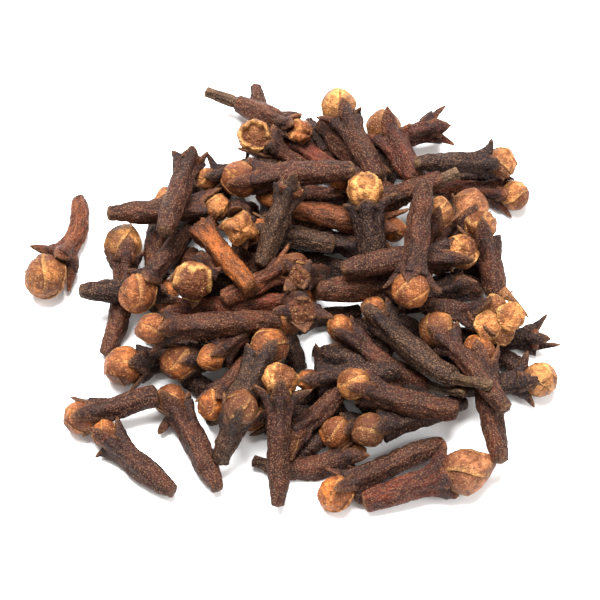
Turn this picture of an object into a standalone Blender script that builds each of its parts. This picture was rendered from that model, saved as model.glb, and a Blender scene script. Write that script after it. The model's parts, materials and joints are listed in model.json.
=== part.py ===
# A loose heap of whole dried cloves as it lies on a flat surface, with one stray clove beside it.
# Units are metres, +Z is up, and the surface is z = 0 with the origin under the heap's middle.
import math

import bpy
import numpy as np

MM = 0.001

# The view that the layout below was read in, and its scale at the heap's middle
VIEW_ELEVATION = math.radians(65.0)
VIEW_DISTANCE = 400.0 * MM
PIXELS_PER_MM = 7.8
IMAGE_CENTRE = (300.0, 300.0)

# How cloves lie on each other: those that touch sink into each other by CONTACT_PRESS
CONTACT_PRESS = 0.45 * MM
LEAST_JOIN = 0.38 * MM
AXIS_LENGTH_MM = (9.5, 15.2)
MOST_RISE_MM = 4.0
STATIONS = 13
STALK_RADIUS = 0.6 * MM
LUMP_HEIGHT = 1.1 * MM

# The settling of the heap: a little fall at each step, and how strongly each rule is kept
SETTLE_STEPS = 420
FIRST_SQUEEZE = 0.45
FALL = 0.12 * MM
LATE_FALL = 0.02 * MM
LATE_SHARE = 0.8
SEEN_PULL = 0.35
COVERED_PULL = 0.03
FORM_PULL = 0.25
PUSH_GAIN = 0.9
UPPER_SHARE = 0.6
LIFT_BIAS = 0.15
FRONT_BIAS = 1.5
LEAST_FRONT = 0.35
NEAR_MARGIN = 2.5 * MM
STEPS_PER_SEARCH = 15
PUSHES_PER_STEP = 2

# The faceted form of one clove
SIDES = 8
LOBE_REACH = 0.85 * MM
LOBE_FORWARD = 0.5 * MM
FACET_GROWTH = 1.05
BUD_RINGS = ((-0.5, 0.87), (0.2, 1.0), (0.75, 0.66))
SLAB_SIZE = 200.0 * MM
SLAB_DEPTH = 20.0 * MM

STEM_COLOUR = (0.055, 0.026, 0.017, 1.0)
BUD_COLOUR = (0.30, 0.125, 0.045, 1.0)
STEM_ROUGHNESS = 0.75
BUD_ROUGHNESS = 0.65


def clove(bud, foot, ball, stem, **more):
    """One clove: pixels of the middle of its bud and of its foot, and the radii of both in millimetres.

    ball is 0 where the round bud has fallen off. hidden names the ends that others cover ("B" bud,
    "F" foot), which may shift. rise is how far the bud lies above the foot, length a range for the
    axis, via a pixel that a bent clove passes half way, and stalk the pixel of a thin stalk's tip.
    """
    return dict(bud=bud, foot=foot, ball=ball, stem=stem, **more)


# Low lumps of the core, under the crowded places and clear of the gaps that show the surface
CORE = [
    clove((176, 262), (200, 262), 0, 1.8, fixed=True),
    clove((250, 212), (246, 262), 0, 2, fixed=True),
    clove((290, 222), (325, 232), 0, 2, fixed=True),
    clove((350, 226), (376, 240), 0, 1.8, fixed=True),
    clove((258, 292), (308, 300), 0, 2.35, fixed=True),
    clove((195, 334), (240, 332), 0, 1.8, fixed=True),
    clove((232, 385), (285, 400), 0, 1.8, fixed=True),
    clove((335, 385), (395, 388), 0, 1.8, fixed=True),
    clove((440, 352), (475, 372), 0, 2, fixed=True),
    clove((430, 285), (478, 290), 0, 1.8, fixed=True),
    clove((436, 240), (468, 246), 0, 1.8, fixed=True),
    clove((330, 160), (352, 182), 0, 1.8, fixed=True),
]

# From the bottom of the heap to its top
CLOVES = [
    clove((498, 178), (394, 172), 0, 1, hidden="B"),
    clove((372, 236), (292, 236), 1.8, 1.35, hidden="B"),
    clove((266, 172), (255, 240), 1.8, 1.35, hidden="BF"),
    clove((270, 194), (343, 196), 1.8, 1.35, hidden="B"),
    clove((255, 415), (330, 422), 1.8, 1.35, hidden="BF"),
    clove((357, 452), (268, 465), 1.15, 1.1, stalk=(252, 460)),
    clove((298, 296), (244, 255), 1.8, 1.25, hidden="B"),
    clove((290, 315), (357, 312), 1.8, 1.15, hidden="B"),
    clove((288, 443), (342, 391), 2, 1.25, hidden="B"),
    clove((266, 158), (256, 85), 1.8, 1.15, hidden="B"),
    clove((383, 163), (362, 225), 1.8, 1.25, hidden="F"),
    clove((298, 148), (348, 180), 0, 1.35, hidden="F"),
    clove((375, 186), (324, 124), 2, 1.6, hidden="B"),
    clove((338, 104), (376, 178), 2.35, 1.55, rise=-0.9),
    clove((350, 160), (405, 188), 1.8, 1.25, hidden="BF"),
    clove((436, 127), (362, 147), 0, 1.35, hidden="F", rise=2.7),
    clove((384, 124), (415, 176), 2.35, 1.7, rise=-2.7),
    clove((300, 131), (238, 103), 1.7, 1.1, stalk=(204, 91)),
    clove((254, 137), (310, 172), 2.35, 1.35, hidden="F"),
    clove((501, 163), (418, 163), 2.15, 1.3),
    clove((514, 196), (432, 187), 2.05, 1.35),
    clove((470, 208), (436, 266), 2.45, 1.45, hidden="F"),
    clove((481, 226), (497, 297), 2.15, 1.55),
    clove((123, 243), (108, 352), 2.45, 1.35),
    clove((161, 198), (149, 270), 1.55, 1.25),
    clove((172, 314), (84, 290), 2, 1.2, hidden="B"),
    clove((121, 366), (205, 360), 2.55, 1.35, hidden="F"),
    clove((181, 366), (262, 352), 2.25, 1.35, hidden="F"),
    clove((211, 358), (262, 312), 1.8, 1.35, hidden="F"),
    clove((175, 312), (287, 299), 0, 1.35),
    clove((146, 328), (276, 322), 2.05, 1.35, length=(9.5, 17)),
    clove((298, 274), (226, 298), 1.8, 1.35, hidden="B"),
    clove((192, 281), (212, 245), 2.7, 1.35, rise=7.2, hidden="F"),
    clove((138, 294), (196, 219), 2.55, 1.55),
    clove((208, 179), (272, 166), 1.55, 1.25, rise=1.8, hidden="F"),
    clove((216, 208), (112, 214), 1.9, 1.55),
    clove((240, 179), (350, 171), 2.55, 1.55),
    clove((190, 160), (165, 230), 0, 1.45),
    clove((240, 227), (246, 216), 2.15, 1.35, rise=6.3, hidden="F"),
    clove((258, 232), (330, 243), 1.8, 1.45, hidden="B"),
    clove((203, 230), (248, 285), 0, 1.55),
    clove((372, 206), (441, 178), 1.8, 1.35, stalk=(459, 171), hidden="B"),
    clove((394, 229), (293, 207), 1.6, 1.55),
    clove((290, 188), (262, 262), 0, 1.65),
    clove((364, 189), (374, 265), 2.45, 1.8),
    clove((298, 276), (306, 266), 0, 1.4, rise=5.4, hidden="F", length=(7, 9)),
    clove((302, 310), (300, 298), 0, 1.6, rise=5.4, hidden="F", length=(7, 9)),
    clove((440, 214), (436, 285), 2, 1.35, hidden="F"),
    clove((462, 282), (398, 302), 0, 1.35, hidden="F"),
    clove((405, 287), (318, 290), 1.8, 1.6, hidden="B"),
    clove((463, 251), (345, 268), 2.35, 1.6),
    clove((410, 290), (424, 185), 2.45, 1.75),
    clove((540, 378), (455, 372), 2.3, 1.35, hidden="F"),
    clove((537, 336), (452, 333), 0, 1.35, hidden="F"),
    clove((497, 320), (425, 305), 2.7, 1.45, rise=2.7),
    clove((478, 352), (500, 458), 2.15, 1.55),
    clove((438, 330), (506, 407), 2.45, 1.55),
    clove((340, 328), (430, 385), 1.8, 1.45, stalk=(463, 393)),
    clove((375, 308), (455, 378), 1.65, 1.55, stalk=(488, 384)),
    clove((336, 432), (410, 420), 2.15, 1.35, hidden="F"),
    clove((369, 430), (462, 402), 2.15, 1.45),
    clove((308, 380), (395, 375), 1.45, 1.45, hidden="F"),
    clove((354, 384), (453, 410), 2.15, 1.55),
    clove((213, 404), (245, 375), 1.95, 1.25, rise=2.7, hidden="F"),
    clove((268, 345), (238, 402), 2.55, 1.8),
    clove((240, 408), (221, 458), 2.15, 1.35, rise=5.4, length=(8, 10)),
    clove((170, 400), (216, 486), 2.15, 1.55),
    clove((80, 418), (157, 389), 2.15, 1.35),
    clove((104, 432), (171, 489), 1.8, 1.6),
    clove((281, 380), (278, 502), 2.35, 1.4, rise=6.3),
    clove((340, 489), (446, 439), 2.45, 1.45, length=(9.5, 17)),
    clove((468, 470), (366, 503), 2.9, 1.75, length=(9.5, 16)),
]

STRAY = clove((46, 276), (79, 198), 2.7, 1.05, via=(75, 234))

FOCAL_PIXELS = PIXELS_PER_MM * VIEW_DISTANCE / MM
TOWARD = np.array([0.0, -math.cos(VIEW_ELEVATION), math.sin(VIEW_ELEVATION)])
UP = np.array([0.0, math.sin(VIEW_ELEVATION), math.cos(VIEW_ELEVATION)])
RIGHT = np.array([1.0, 0.0, 0.0])
EYE = TOWARD * VIEW_DISTANCE


def sight_line(pixel):
    """Unit vector from the eye through a pixel."""
    right = (pixel[0] - IMAGE_CENTRE[0]) / FOCAL_PIXELS
    up = (IMAGE_CENTRE[1] - pixel[1]) / FOCAL_PIXELS
    ray = RIGHT * right + UP * up - TOWARD
    return ray / np.linalg.norm(ray)


def at_height(pixel, height):
    """The point that is seen at a pixel and lies at a height above the surface."""
    ray = sight_line(pixel)
    return EYE + ray * (height - EYE[2]) / ray[2]


def across(right, down):
    """A step in the plane of the view, from a step in pixels."""
    return (RIGHT * right - UP * down) * MM / PIXELS_PER_MM


def beads_of(item):
    """Balls that stand for one clove as it settles: place along the axis (0 foot, 1 bud) and radius."""
    stem = item["stem"] * MM
    along = np.linspace(0.0, 1.0, STATIONS)
    radii = np.select([along < 0.05, along < 0.75], [0.8 * stem, stem], 1.1 * stem)
    radii[-1] = item["ball"] * MM or 1.3 * stem
    if item.get("fixed"):
        radii[:] = stem
    if "stalk" in item:
        reach = math.dist(item["stalk"], item["foot"]) / math.dist(item["bud"], item["foot"])
        along = np.append(along, [-0.5 * reach, -reach])
        radii = np.append(radii, [STALK_RADIUS, STALK_RADIUS])
    return along, radii


def sag_of(item):
    """How far the middle of a bent clove's axis lies from the straight line between its ends."""
    middle = (np.array(item["bud"]) + np.array(item["foot"])) / 2
    bend = np.array(item.get("via", middle)) - middle
    return across(bend[0], bend[1])


def clear_height(pixel, radius, placed):
    """Lowest height on a sight line at which a ball clears the surface and the balls already there."""
    height = radius
    ray = sight_line(pixel)
    reach = placed[:, 3] + radius - CONTACT_PRESS
    offset = placed[:, :3] - EYE
    depth = offset @ ray
    apart = (offset ** 2).sum(axis=1) - depth ** 2
    near = apart < reach ** 2
    if near.any():
        touch = depth[near] - np.sqrt(reach[near] ** 2 - apart[near])
        height = max(height, EYE[2] + ray[2] * touch.min())
    return height


def first_heights(items):
    """Loose heights to settle from: each clove laid over those before it, then the pile pressed down."""
    placed = np.zeros((0, 4))
    feet, buds = [], []
    for item in items:
        along, radii = beads_of(item)
        foot, bud = np.array(item["foot"], float), np.array(item["bud"], float)
        pixels = [foot * (1 - t) + bud * t for t in along]
        rise = item.get("rise", 0) * MM
        heights = [clear_height(pixel, radius, placed) for pixel, radius in zip(pixels, radii)]
        base = LUMP_HEIGHT if item.get("fixed") else (heights - rise * along).max()
        spots = [at_height(pixel, base + rise * t) for pixel, t in zip(pixels, along)]
        placed = np.vstack([placed, np.column_stack([spots, radii])])
        start = base if item.get("fixed") else base * FIRST_SQUEEZE
        feet.append(at_height(foot, start))
        buds.append(at_height(bud, start + rise))
    return np.array(feet), np.array(buds)


class Heap:
    """The axes of all cloves, as arrays of foot and bud points, and the beads along them."""

    def __init__(self, items):
        self.items = items
        self.count = len(items)
        self.feet, self.buds = first_heights(items)
        beads = [beads_of(item) for item in items]
        self.owner = np.concatenate([np.full(len(along), i) for i, (along, _) in enumerate(beads)])
        self.along = np.concatenate([along for along, _ in beads])
        self.radius = np.concatenate([radii for _, radii in beads])
        bends = [4 * np.outer(along * (1 - along), sag_of(item)) for (along, _), item in zip(beads, items)]
        self.bend = np.concatenate(bends)
        self.to_bud = np.clip(self.along, 0, 1)
        self.free = np.array([0.0 if item.get("fixed") else 1.0 for item in items])

    def spots(self):
        along = self.along[:, None]
        return self.feet[self.owner] * (1 - along) + self.buds[self.owner] * along + self.bend

    def ends(self):
        """Both ends, each with the share that a push on a bead gives it."""
        return (self.feet, 1 - self.to_bud), (self.buds, self.to_bud)

    def hold_in_view(self):
        """Pulls each end towards the sight line that it is seen on, a covered end only a little."""
        for end, pixel_name, letter in ((self.feet, "foot", "F"), (self.buds, "bud", "B")):
            rays = np.array([sight_line(item[pixel_name]) for item in self.items])
            covered = np.array([letter in item.get("hidden", "") for item in self.items])
            pull = np.where(covered, COVERED_PULL, SEEN_PULL)
            depth = ((end - EYE) * rays).sum(axis=1)[:, None]
            end += (EYE + rays * depth - end) * (pull * self.free)[:, None]

    def hold_form(self):
        """Keeps each axis within its range of lengths and its rise."""
        lengths = np.array([item.get("length", AXIS_LENGTH_MM) for item in self.items]) * MM
        span = self.buds - self.feet
        length = np.linalg.norm(span, axis=1)
        error = np.clip(length, lengths[:, 0], lengths[:, 1]) - length
        shift = span * (FORM_PULL * error * self.free / length)[:, None]
        self.buds += shift
        self.feet -= shift
        least = np.array([item.get("rise", -MOST_RISE_MM) for item in self.items]) * MM
        most = np.array([item.get("rise", MOST_RISE_MM) for item in self.items]) * MM
        rise = self.buds[:, 2] - self.feet[:, 2]
        tilt = FORM_PULL * (np.clip(rise, least, most) - rise) * self.free
        self.buds[:, 2] += tilt
        self.feet[:, 2] -= tilt

    def near_pairs(self):
        """Beads of two cloves that lie close by, the upper clove's first."""
        here = self.spots()
        gap = np.linalg.norm(here[:, None] - here[None], axis=2)
        gap -= self.radius[:, None] + self.radius[None]
        return np.nonzero((gap < NEAR_MARGIN) & (self.owner[:, None] > self.owner[None]))

    def push_apart(self, pairs):
        """Moves beads that overlap apart, the upper clove staying above or in front."""
        here = self.spots()
        upper, lower = pairs
        apart = here[upper] - here[lower]
        distance = np.linalg.norm(apart, axis=1) + 1e-9
        reach = self.radius[upper] + self.radius[lower] - CONTACT_PRESS
        hit = distance < reach
        upper, lower = upper[hit], lower[hit]
        way = apart[hit] / distance[hit][:, None]
        behind = np.clip(LEAST_FRONT - way @ TOWARD, 0, None)
        way = way + FRONT_BIAS * behind[:, None] * TOWARD + np.array([0.0, 0.0, LIFT_BIAS])
        push = way / np.linalg.norm(way, axis=1)[:, None] * (reach - distance)[hit][:, None]
        gives = self.free[self.owner[lower]] > 0
        upper_part = np.where(gives, UPPER_SHARE, 1.0)
        for end, share in self.ends():
            total = np.zeros((self.count, 3))
            weight = np.zeros(self.count)
            for bead, part in ((upper, upper_part), (lower, upper_part - 1)):
                np.add.at(total, self.owner[bead], push * (part * share[bead])[:, None])
                np.add.at(weight, self.owner[bead], share[bead])
            end += total * (PUSH_GAIN * self.free / np.maximum(weight, 1.0))[:, None]

    def stay_above_surface(self):
        lever = (1 - self.to_bud) ** 2 + self.to_bud ** 2
        sunk = np.clip(self.radius - self.spots()[:, 2], 0, None) / lever
        for end, share in self.ends():
            lift = np.zeros(self.count)
            np.maximum.at(lift, self.owner, sunk * share)
            end[:, 2] += lift * self.free

    def settle(self):
        for step in range(SETTLE_STEPS):
            fall = FALL if step < LATE_SHARE * SETTLE_STEPS else LATE_FALL
            self.feet[:, 2] -= fall * self.free
            self.buds[:, 2] -= fall * self.free
            self.hold_in_view()
            self.hold_form()
            if step % STEPS_PER_SEARCH == 0:
                pairs = self.near_pairs()
            for _ in range(PUSHES_PER_STEP):
                self.push_apart(pairs)
                self.stay_above_surface()

    def touching_groups(self):
        """A number for each clove, the same for all that hang together by touching."""
        here = self.spots()
        distance = np.linalg.norm(here[:, None] - here[None], axis=2)
        overlap = self.radius[:, None] + self.radius[None] - distance
        group = np.arange(self.count)
        for a, b in zip(*np.nonzero((overlap > LEAST_JOIN) & (self.owner[:, None] > self.owner[None]))):
            first, second = group[self.owner[a]], group[self.owner[b]]
            group[group == max(first, second)] = min(first, second)
        return group

    def gather(self):
        """Slides loose cloves sideways, a millimetre or so, until all touch the rest."""
        while True:
            group = self.touching_groups()
            numbers, sizes = np.unique(group, return_counts=True)
            if len(numbers) == 1:
                return
            loose = group == numbers[np.argmin(sizes)]
            inside = loose[self.owner]
            here = self.spots()
            span = here[~inside][None] - here[inside][:, None]
            reach = self.radius[inside][:, None] + self.radius[~inside][None] - CONTACT_PRESS
            flat = np.linalg.norm(span[..., :2], axis=2)
            level = reach ** 2 - span[..., 2] ** 2
            slide = np.where(level > 0, flat - np.sqrt(np.clip(level, 0, None)), np.inf)
            a, b = np.unravel_index(np.argmin(slide), slide.shape)
            step = span[a, b] * np.array([1.0, 1.0, 0.0]) / flat[a, b] * (slide[a, b] + 0.05 * MM)
            self.feet[loose] += step
            self.buds[loose] += step


def rings_of(length, ball, stem):
    """Rings of a clove from its foot up: distance along the axis, radius, and radius at its lobes.

    The two end points come first and last, with radius 0.
    """
    foot = [(-0.75 * stem, 0.0, 0.0), (0.1 * stem, 0.85 * stem, 0.85 * stem)]
    if ball:
        crown = length - 0.75 * ball
        collar = max(1.15 * stem, 0.7 * ball)
        waist = [(crown - 1.3 * stem, stem, stem), (crown, collar, ball + LOBE_REACH)]
        bud = [(length + along * ball, share * ball, share * ball) for along, share in BUD_RINGS]
        return foot + waist + bud + [(length + ball, 0.0, 0.0)]
    waist = [(length - 1.5 * stem, stem, stem), (length, 1.2 * stem, 1.3 * stem + LOBE_REACH)]
    hollow = [(length - 0.2 * stem, 0.8 * stem, 0.8 * stem)]
    return foot + waist + hollow + [(length - 0.6 * stem, 0.0, 0.0)]


def ring_mesh(name, centres, sides_of, radii, lobes, forward, materials, bud_ring):
    """A closed mesh through round rings, whose every other corner may stand out as a lobe."""
    points, faces = [centres[0]], []
    count = len(centres)
    for k in range(1, count - 1):
        side, other, ahead = sides_of[k]
        for corner in range(SIDES):
            turn = 2 * math.pi * corner / SIDES
            tip = corner % 2 == 0 and lobes[k] != radii[k]
            reach = (lobes[k] if tip else radii[k]) * FACET_GROWTH
            step = (side * math.cos(turn) + other * math.sin(turn)) * reach + ahead * (forward if tip else 0)
            points.append(centres[k] + step)
    points.append(centres[-1])
    last = len(points) - 1
    face_rings = []
    for corner in range(SIDES):
        following = (corner + 1) % SIDES
        faces.append((0, 1 + following, 1 + corner))
        face_rings.append(0)
        for k in range(count - 3):
            low, high = 1 + k * SIDES, 1 + (k + 1) * SIDES
            faces.append((low + corner, low + following, high + following, high + corner))
            face_rings.append(k + 1)
        top = 1 + (count - 3) * SIDES
        faces.append((top + corner, top + following, last))
        face_rings.append(count - 2)
    mesh = bpy.data.meshes.new(name)
    mesh.from_pydata([tuple(point) for point in points], [], faces)
    for material in materials:
        mesh.materials.append(material)
    for face, ring in zip(mesh.polygons, face_rings):
        face.material_index = 1 if ring >= bud_ring else 0
    return mesh


def add_object(name, mesh, collection):
    thing = bpy.data.objects.new(name, mesh)
    collection.objects.link(thing)
    return thing


def add_clove(name, item, foot, bud, materials, collection):
    """The faceted solid of one clove, its lobes turned to show at both sides of the view."""
    ball, stem = item["ball"] * MM, item["stem"] * MM
    length = np.linalg.norm(bud - foot)
    rings = rings_of(length, ball, stem)
    if "via" in item:
        bent = [(share * length, stem, stem) for share in (0.2, 0.38, 0.54)]
        rings = rings[:2] + bent + rings[2:]
    sag = sag_of(item)

    def on_axis(distance):
        t = distance / length
        return foot * (1 - t) + bud * t + 4 * sag * t * (1 - t)

    centres = [on_axis(ring[0]) for ring in rings]
    radii = [ring[1] for ring in rings]
    lobes = [ring[2] for ring in rings]
    if "stalk" in item:
        tip = foot + across(item["stalk"][0] - item["foot"][0], item["stalk"][1] - item["foot"][1])
        away = (tip - foot) / np.linalg.norm(tip - foot)
        centres[:1] = [tip + away * 0.3 * MM, tip, foot + away * 0.9 * stem]
        radii[:1] = [0.0, STALK_RADIUS, STALK_RADIUS]
        lobes[:1] = [0.0, STALK_RADIUS, STALK_RADIUS]
    frames = []
    for k in range(len(centres)):
        ahead = centres[min(k + 1, len(centres) - 1)] - centres[max(k - 1, 0)]
        if not item["ball"] and k >= len(centres) - 3:
            ahead = bud - foot
        ahead = ahead / np.linalg.norm(ahead)
        side = np.cross(ahead, TOWARD)
        side = side / np.linalg.norm(side)
        frames.append((side, np.cross(ahead, side), ahead))
    star = len(centres) - 5 if item["ball"] else len(centres) - 3
    mesh = ring_mesh(name, centres, frames, radii, lobes, LOBE_FORWARD, materials, star)
    return add_object(name, mesh, collection)


def add_lump(name, item, foot, bud, materials, collection):
    """A rounded lump of the core."""
    radius = item["stem"] * MM
    ahead = (bud - foot) / np.linalg.norm(bud - foot)
    side = np.cross(ahead, TOWARD)
    side = side / np.linalg.norm(side)
    frame = (side, np.cross(ahead, side), ahead)
    places = [-1.0, -0.7, 0.0]
    centres = [foot + ahead * radius * place for place in places]
    centres += [bud - ahead * radius * place for place in reversed(places)]
    radii = [0.0, 0.7 * radius, radius, radius, 0.7 * radius, 0.0]
    mesh = ring_mesh(name, centres, [frame] * 6, radii, radii, 0.0, materials, len(centres))
    return add_object(name, mesh, collection)


def boolean(thing, operation, **target):
    """Joins an object with others, or cuts it with one."""
    modifier = thing.modifiers.new(operation.title(), "BOOLEAN")
    modifier.operation = operation
    modifier.solver = "EXACT"
    for setting, value in target.items():
        setattr(modifier, setting, value)
    graph = bpy.context.evaluated_depsgraph_get()
    mesh = bpy.data.meshes.new_from_object(thing.evaluated_get(graph))
    thing.modifiers.clear()
    old = thing.data
    thing.data = mesh
    bpy.data.meshes.remove(old)


def keep_largest_piece(thing):
    """Drops loose scraps and the walls of sealed hollows, which fills them."""
    mesh = thing.data
    sides = {}
    for face in mesh.polygons:
        for edge in face.edge_keys:
            sides.setdefault(edge, []).append(face.index)
    joined = np.array([pair for pair in sides.values() if len(pair) == 2])
    group = np.arange(len(mesh.polygons))
    while True:
        low = group[joined].min(axis=1)
        before = group.copy()
        np.minimum.at(group, joined[:, 0], low)
        np.minimum.at(group, joined[:, 1], low)
        group = group[group]
        if (group == before).all():
            break
    numbers, sizes = np.unique(group, return_counts=True)
    kept = [mesh.polygons[int(i)] for i in np.nonzero(group == numbers[np.argmax(sizes)])[0]]
    corners = sorted({corner for face in kept for corner in face.vertices})
    new_place = {corner: place for place, corner in enumerate(corners)}
    points = [mesh.vertices[corner].co[:] for corner in corners]
    faces = [[new_place[corner] for corner in face.vertices] for face in kept]
    slots = [face.material_index for face in kept]
    whole = bpy.data.meshes.new(mesh.name)
    whole.from_pydata(points, [], faces)
    for material in mesh.materials:
        whole.materials.append(material)
    for face, slot in zip(whole.polygons, slots):
        face.material_index = slot
    thing.data = whole
    bpy.data.meshes.remove(mesh)


def add_slab(collection):
    """A block under z = 0, which cuts the flat spots that the cloves rest on."""
    half = SLAB_SIZE / 2
    corners = [(x, y, z) for z in (-SLAB_DEPTH, 0.0) for y in (-half, half) for x in (-half, half)]
    faces = [(0, 2, 3, 1), (4, 5, 7, 6), (0, 1, 5, 4), (1, 3, 7, 5), (3, 2, 6, 7), (2, 0, 4, 6)]
    mesh = bpy.data.meshes.new("slab")
    mesh.from_pydata(corners, [], faces)
    return add_object("slab", mesh, collection)


def finish_material(name, colour, roughness):
    material = bpy.data.materials.new(name)
    material.use_nodes = True
    shader = material.node_tree.nodes["Principled BSDF"]
    shader.inputs["Base Color"].default_value = colour
    shader.inputs["Roughness"].default_value = roughness
    shader.inputs["Metallic"].default_value = 0.0
    return material


def build_heap(materials, scene_collection, slab):
    """One solid: the core's lumps and the cloves that show, joined by one union."""
    items = CORE + CLOVES
    heap = Heap(items)
    heap.settle()
    heap.gather()
    loose = bpy.data.collections.new("loose_cloves")
    scene_collection.children.link(loose)
    first = None
    for i, item in enumerate(items):
        add = add_lump if item.get("fixed") else add_clove
        home = loose if first else scene_collection
        made = add(f"piece_{i}", item, heap.feet[i], heap.buds[i], materials, home)
        first = first or made
    first.name = "clove_heap"
    boolean(first, "UNION", operand_type="COLLECTION", collection=loose)
    for piece in list(loose.objects):
        bpy.data.objects.remove(piece)
    bpy.data.collections.remove(loose)
    boolean(first, "DIFFERENCE", object=slab)
    keep_largest_piece(first)
    return first


def build_stray(materials, scene_collection, slab):
    """The clove that lies apart, on its bud and its foot."""
    foot = at_height(STRAY["foot"], STRAY["stem"] * MM)
    bud = at_height(STRAY["bud"], STRAY["ball"] * MM)
    stray = add_clove("stray_clove", STRAY, foot, bud, materials, scene_collection)
    boolean(stray, "DIFFERENCE", object=slab)
    return stray


def main():
    for thing in list(bpy.data.objects):
        bpy.data.objects.remove(thing)
    collection = bpy.context.scene.collection
    stem = finish_material("dried_clove_stem", STEM_COLOUR, STEM_ROUGHNESS)
    bud = finish_material("dried_clove_bud", BUD_COLOUR, BUD_ROUGHNESS)
    slab = add_slab(collection)
    build_heap([stem, bud], collection, slab)
    build_stray([stem, bud], collection, slab)
    bpy.data.objects.remove(slab)


main()
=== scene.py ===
# A loose heap of whole dried cloves on a pale floor, with one stray clove beside it
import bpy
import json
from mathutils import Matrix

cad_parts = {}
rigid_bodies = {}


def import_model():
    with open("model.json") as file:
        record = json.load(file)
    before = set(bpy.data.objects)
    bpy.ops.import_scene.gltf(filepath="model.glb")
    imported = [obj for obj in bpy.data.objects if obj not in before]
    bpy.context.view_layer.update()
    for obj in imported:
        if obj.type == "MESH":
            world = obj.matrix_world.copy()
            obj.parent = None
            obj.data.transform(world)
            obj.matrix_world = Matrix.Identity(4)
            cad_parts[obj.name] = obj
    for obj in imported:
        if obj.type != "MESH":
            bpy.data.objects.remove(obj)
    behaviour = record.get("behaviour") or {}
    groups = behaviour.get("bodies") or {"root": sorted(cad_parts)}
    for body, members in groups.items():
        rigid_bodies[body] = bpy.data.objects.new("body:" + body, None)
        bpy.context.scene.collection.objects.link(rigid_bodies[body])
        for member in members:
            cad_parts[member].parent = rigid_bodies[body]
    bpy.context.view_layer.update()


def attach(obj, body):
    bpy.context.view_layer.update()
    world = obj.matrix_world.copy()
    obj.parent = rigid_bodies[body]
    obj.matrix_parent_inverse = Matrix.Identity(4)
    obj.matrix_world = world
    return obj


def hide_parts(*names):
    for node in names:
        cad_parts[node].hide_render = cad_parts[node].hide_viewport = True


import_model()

import json
import math
import random

import bpy
import numpy as np
from mathutils import Matrix, Vector, noise

mm = 0.001

# The view that the cloves were laid out in, the same as the CAD's
sight = {"elevation": math.radians(65.0), "distance": 400.0 * mm, "pixelsPerMm": 7.8,
         "centre": (300.0, 300.0)}

# How the heap settles, the same as the CAD's
settling = {
    "press": 0.45 * mm, "leastJoin": 0.38 * mm, "axisLength": (9.5, 15.2), "mostRise": 4.0,
    "stations": 13, "stalkRadius": 0.6 * mm, "lumpHeight": 1.1 * mm, "steps": 420, "squeeze": 0.45,
    "fall": 0.12 * mm, "lateFall": 0.02 * mm, "lateShare": 0.8, "seenPull": 0.35, "coveredPull": 0.03,
    "formPull": 0.25, "pushGain": 0.9, "upperShare": 0.6, "liftBias": 0.15, "frontBias": 1.5,
    "leastFront": 0.35, "nearMargin": 2.5 * mm, "stepsPerSearch": 15, "pushesPerStep": 2,
}


# One clove: pixels of its bud and foot, radii of both in mm (no bud where ball is 0), the skin of its
# stem, the colour of its bud, and what else is its own: lobes are the pixels of sepal tips that show
def clove(bud, foot, ball, stem, skin="dark", top="tan", **more):
    return dict(bud=bud, foot=foot, ball=ball, stem=stem, skin=skin, top=top, **more)


coreCloves = [
    clove((176, 262), (200, 262), 0, 1.8, fixed=True),
    clove((250, 212), (246, 262), 0, 2, fixed=True),
    clove((290, 222), (325, 232), 0, 2, fixed=True),
    clove((350, 226), (376, 240), 0, 1.8, fixed=True),
    clove((258, 292), (308, 300), 0, 2.35, fixed=True),
    clove((195, 334), (240, 332), 0, 1.8, fixed=True),
    clove((232, 385), (285, 400), 0, 1.8, fixed=True),
    clove((335, 385), (395, 388), 0, 1.8, fixed=True),
    clove((440, 352), (475, 372), 0, 2, fixed=True),
    clove((430, 285), (478, 290), 0, 1.8, fixed=True),
    clove((436, 240), (468, 246), 0, 1.8, fixed=True),
    clove((330, 160), (352, 182), 0, 1.8, fixed=True),
]

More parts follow.
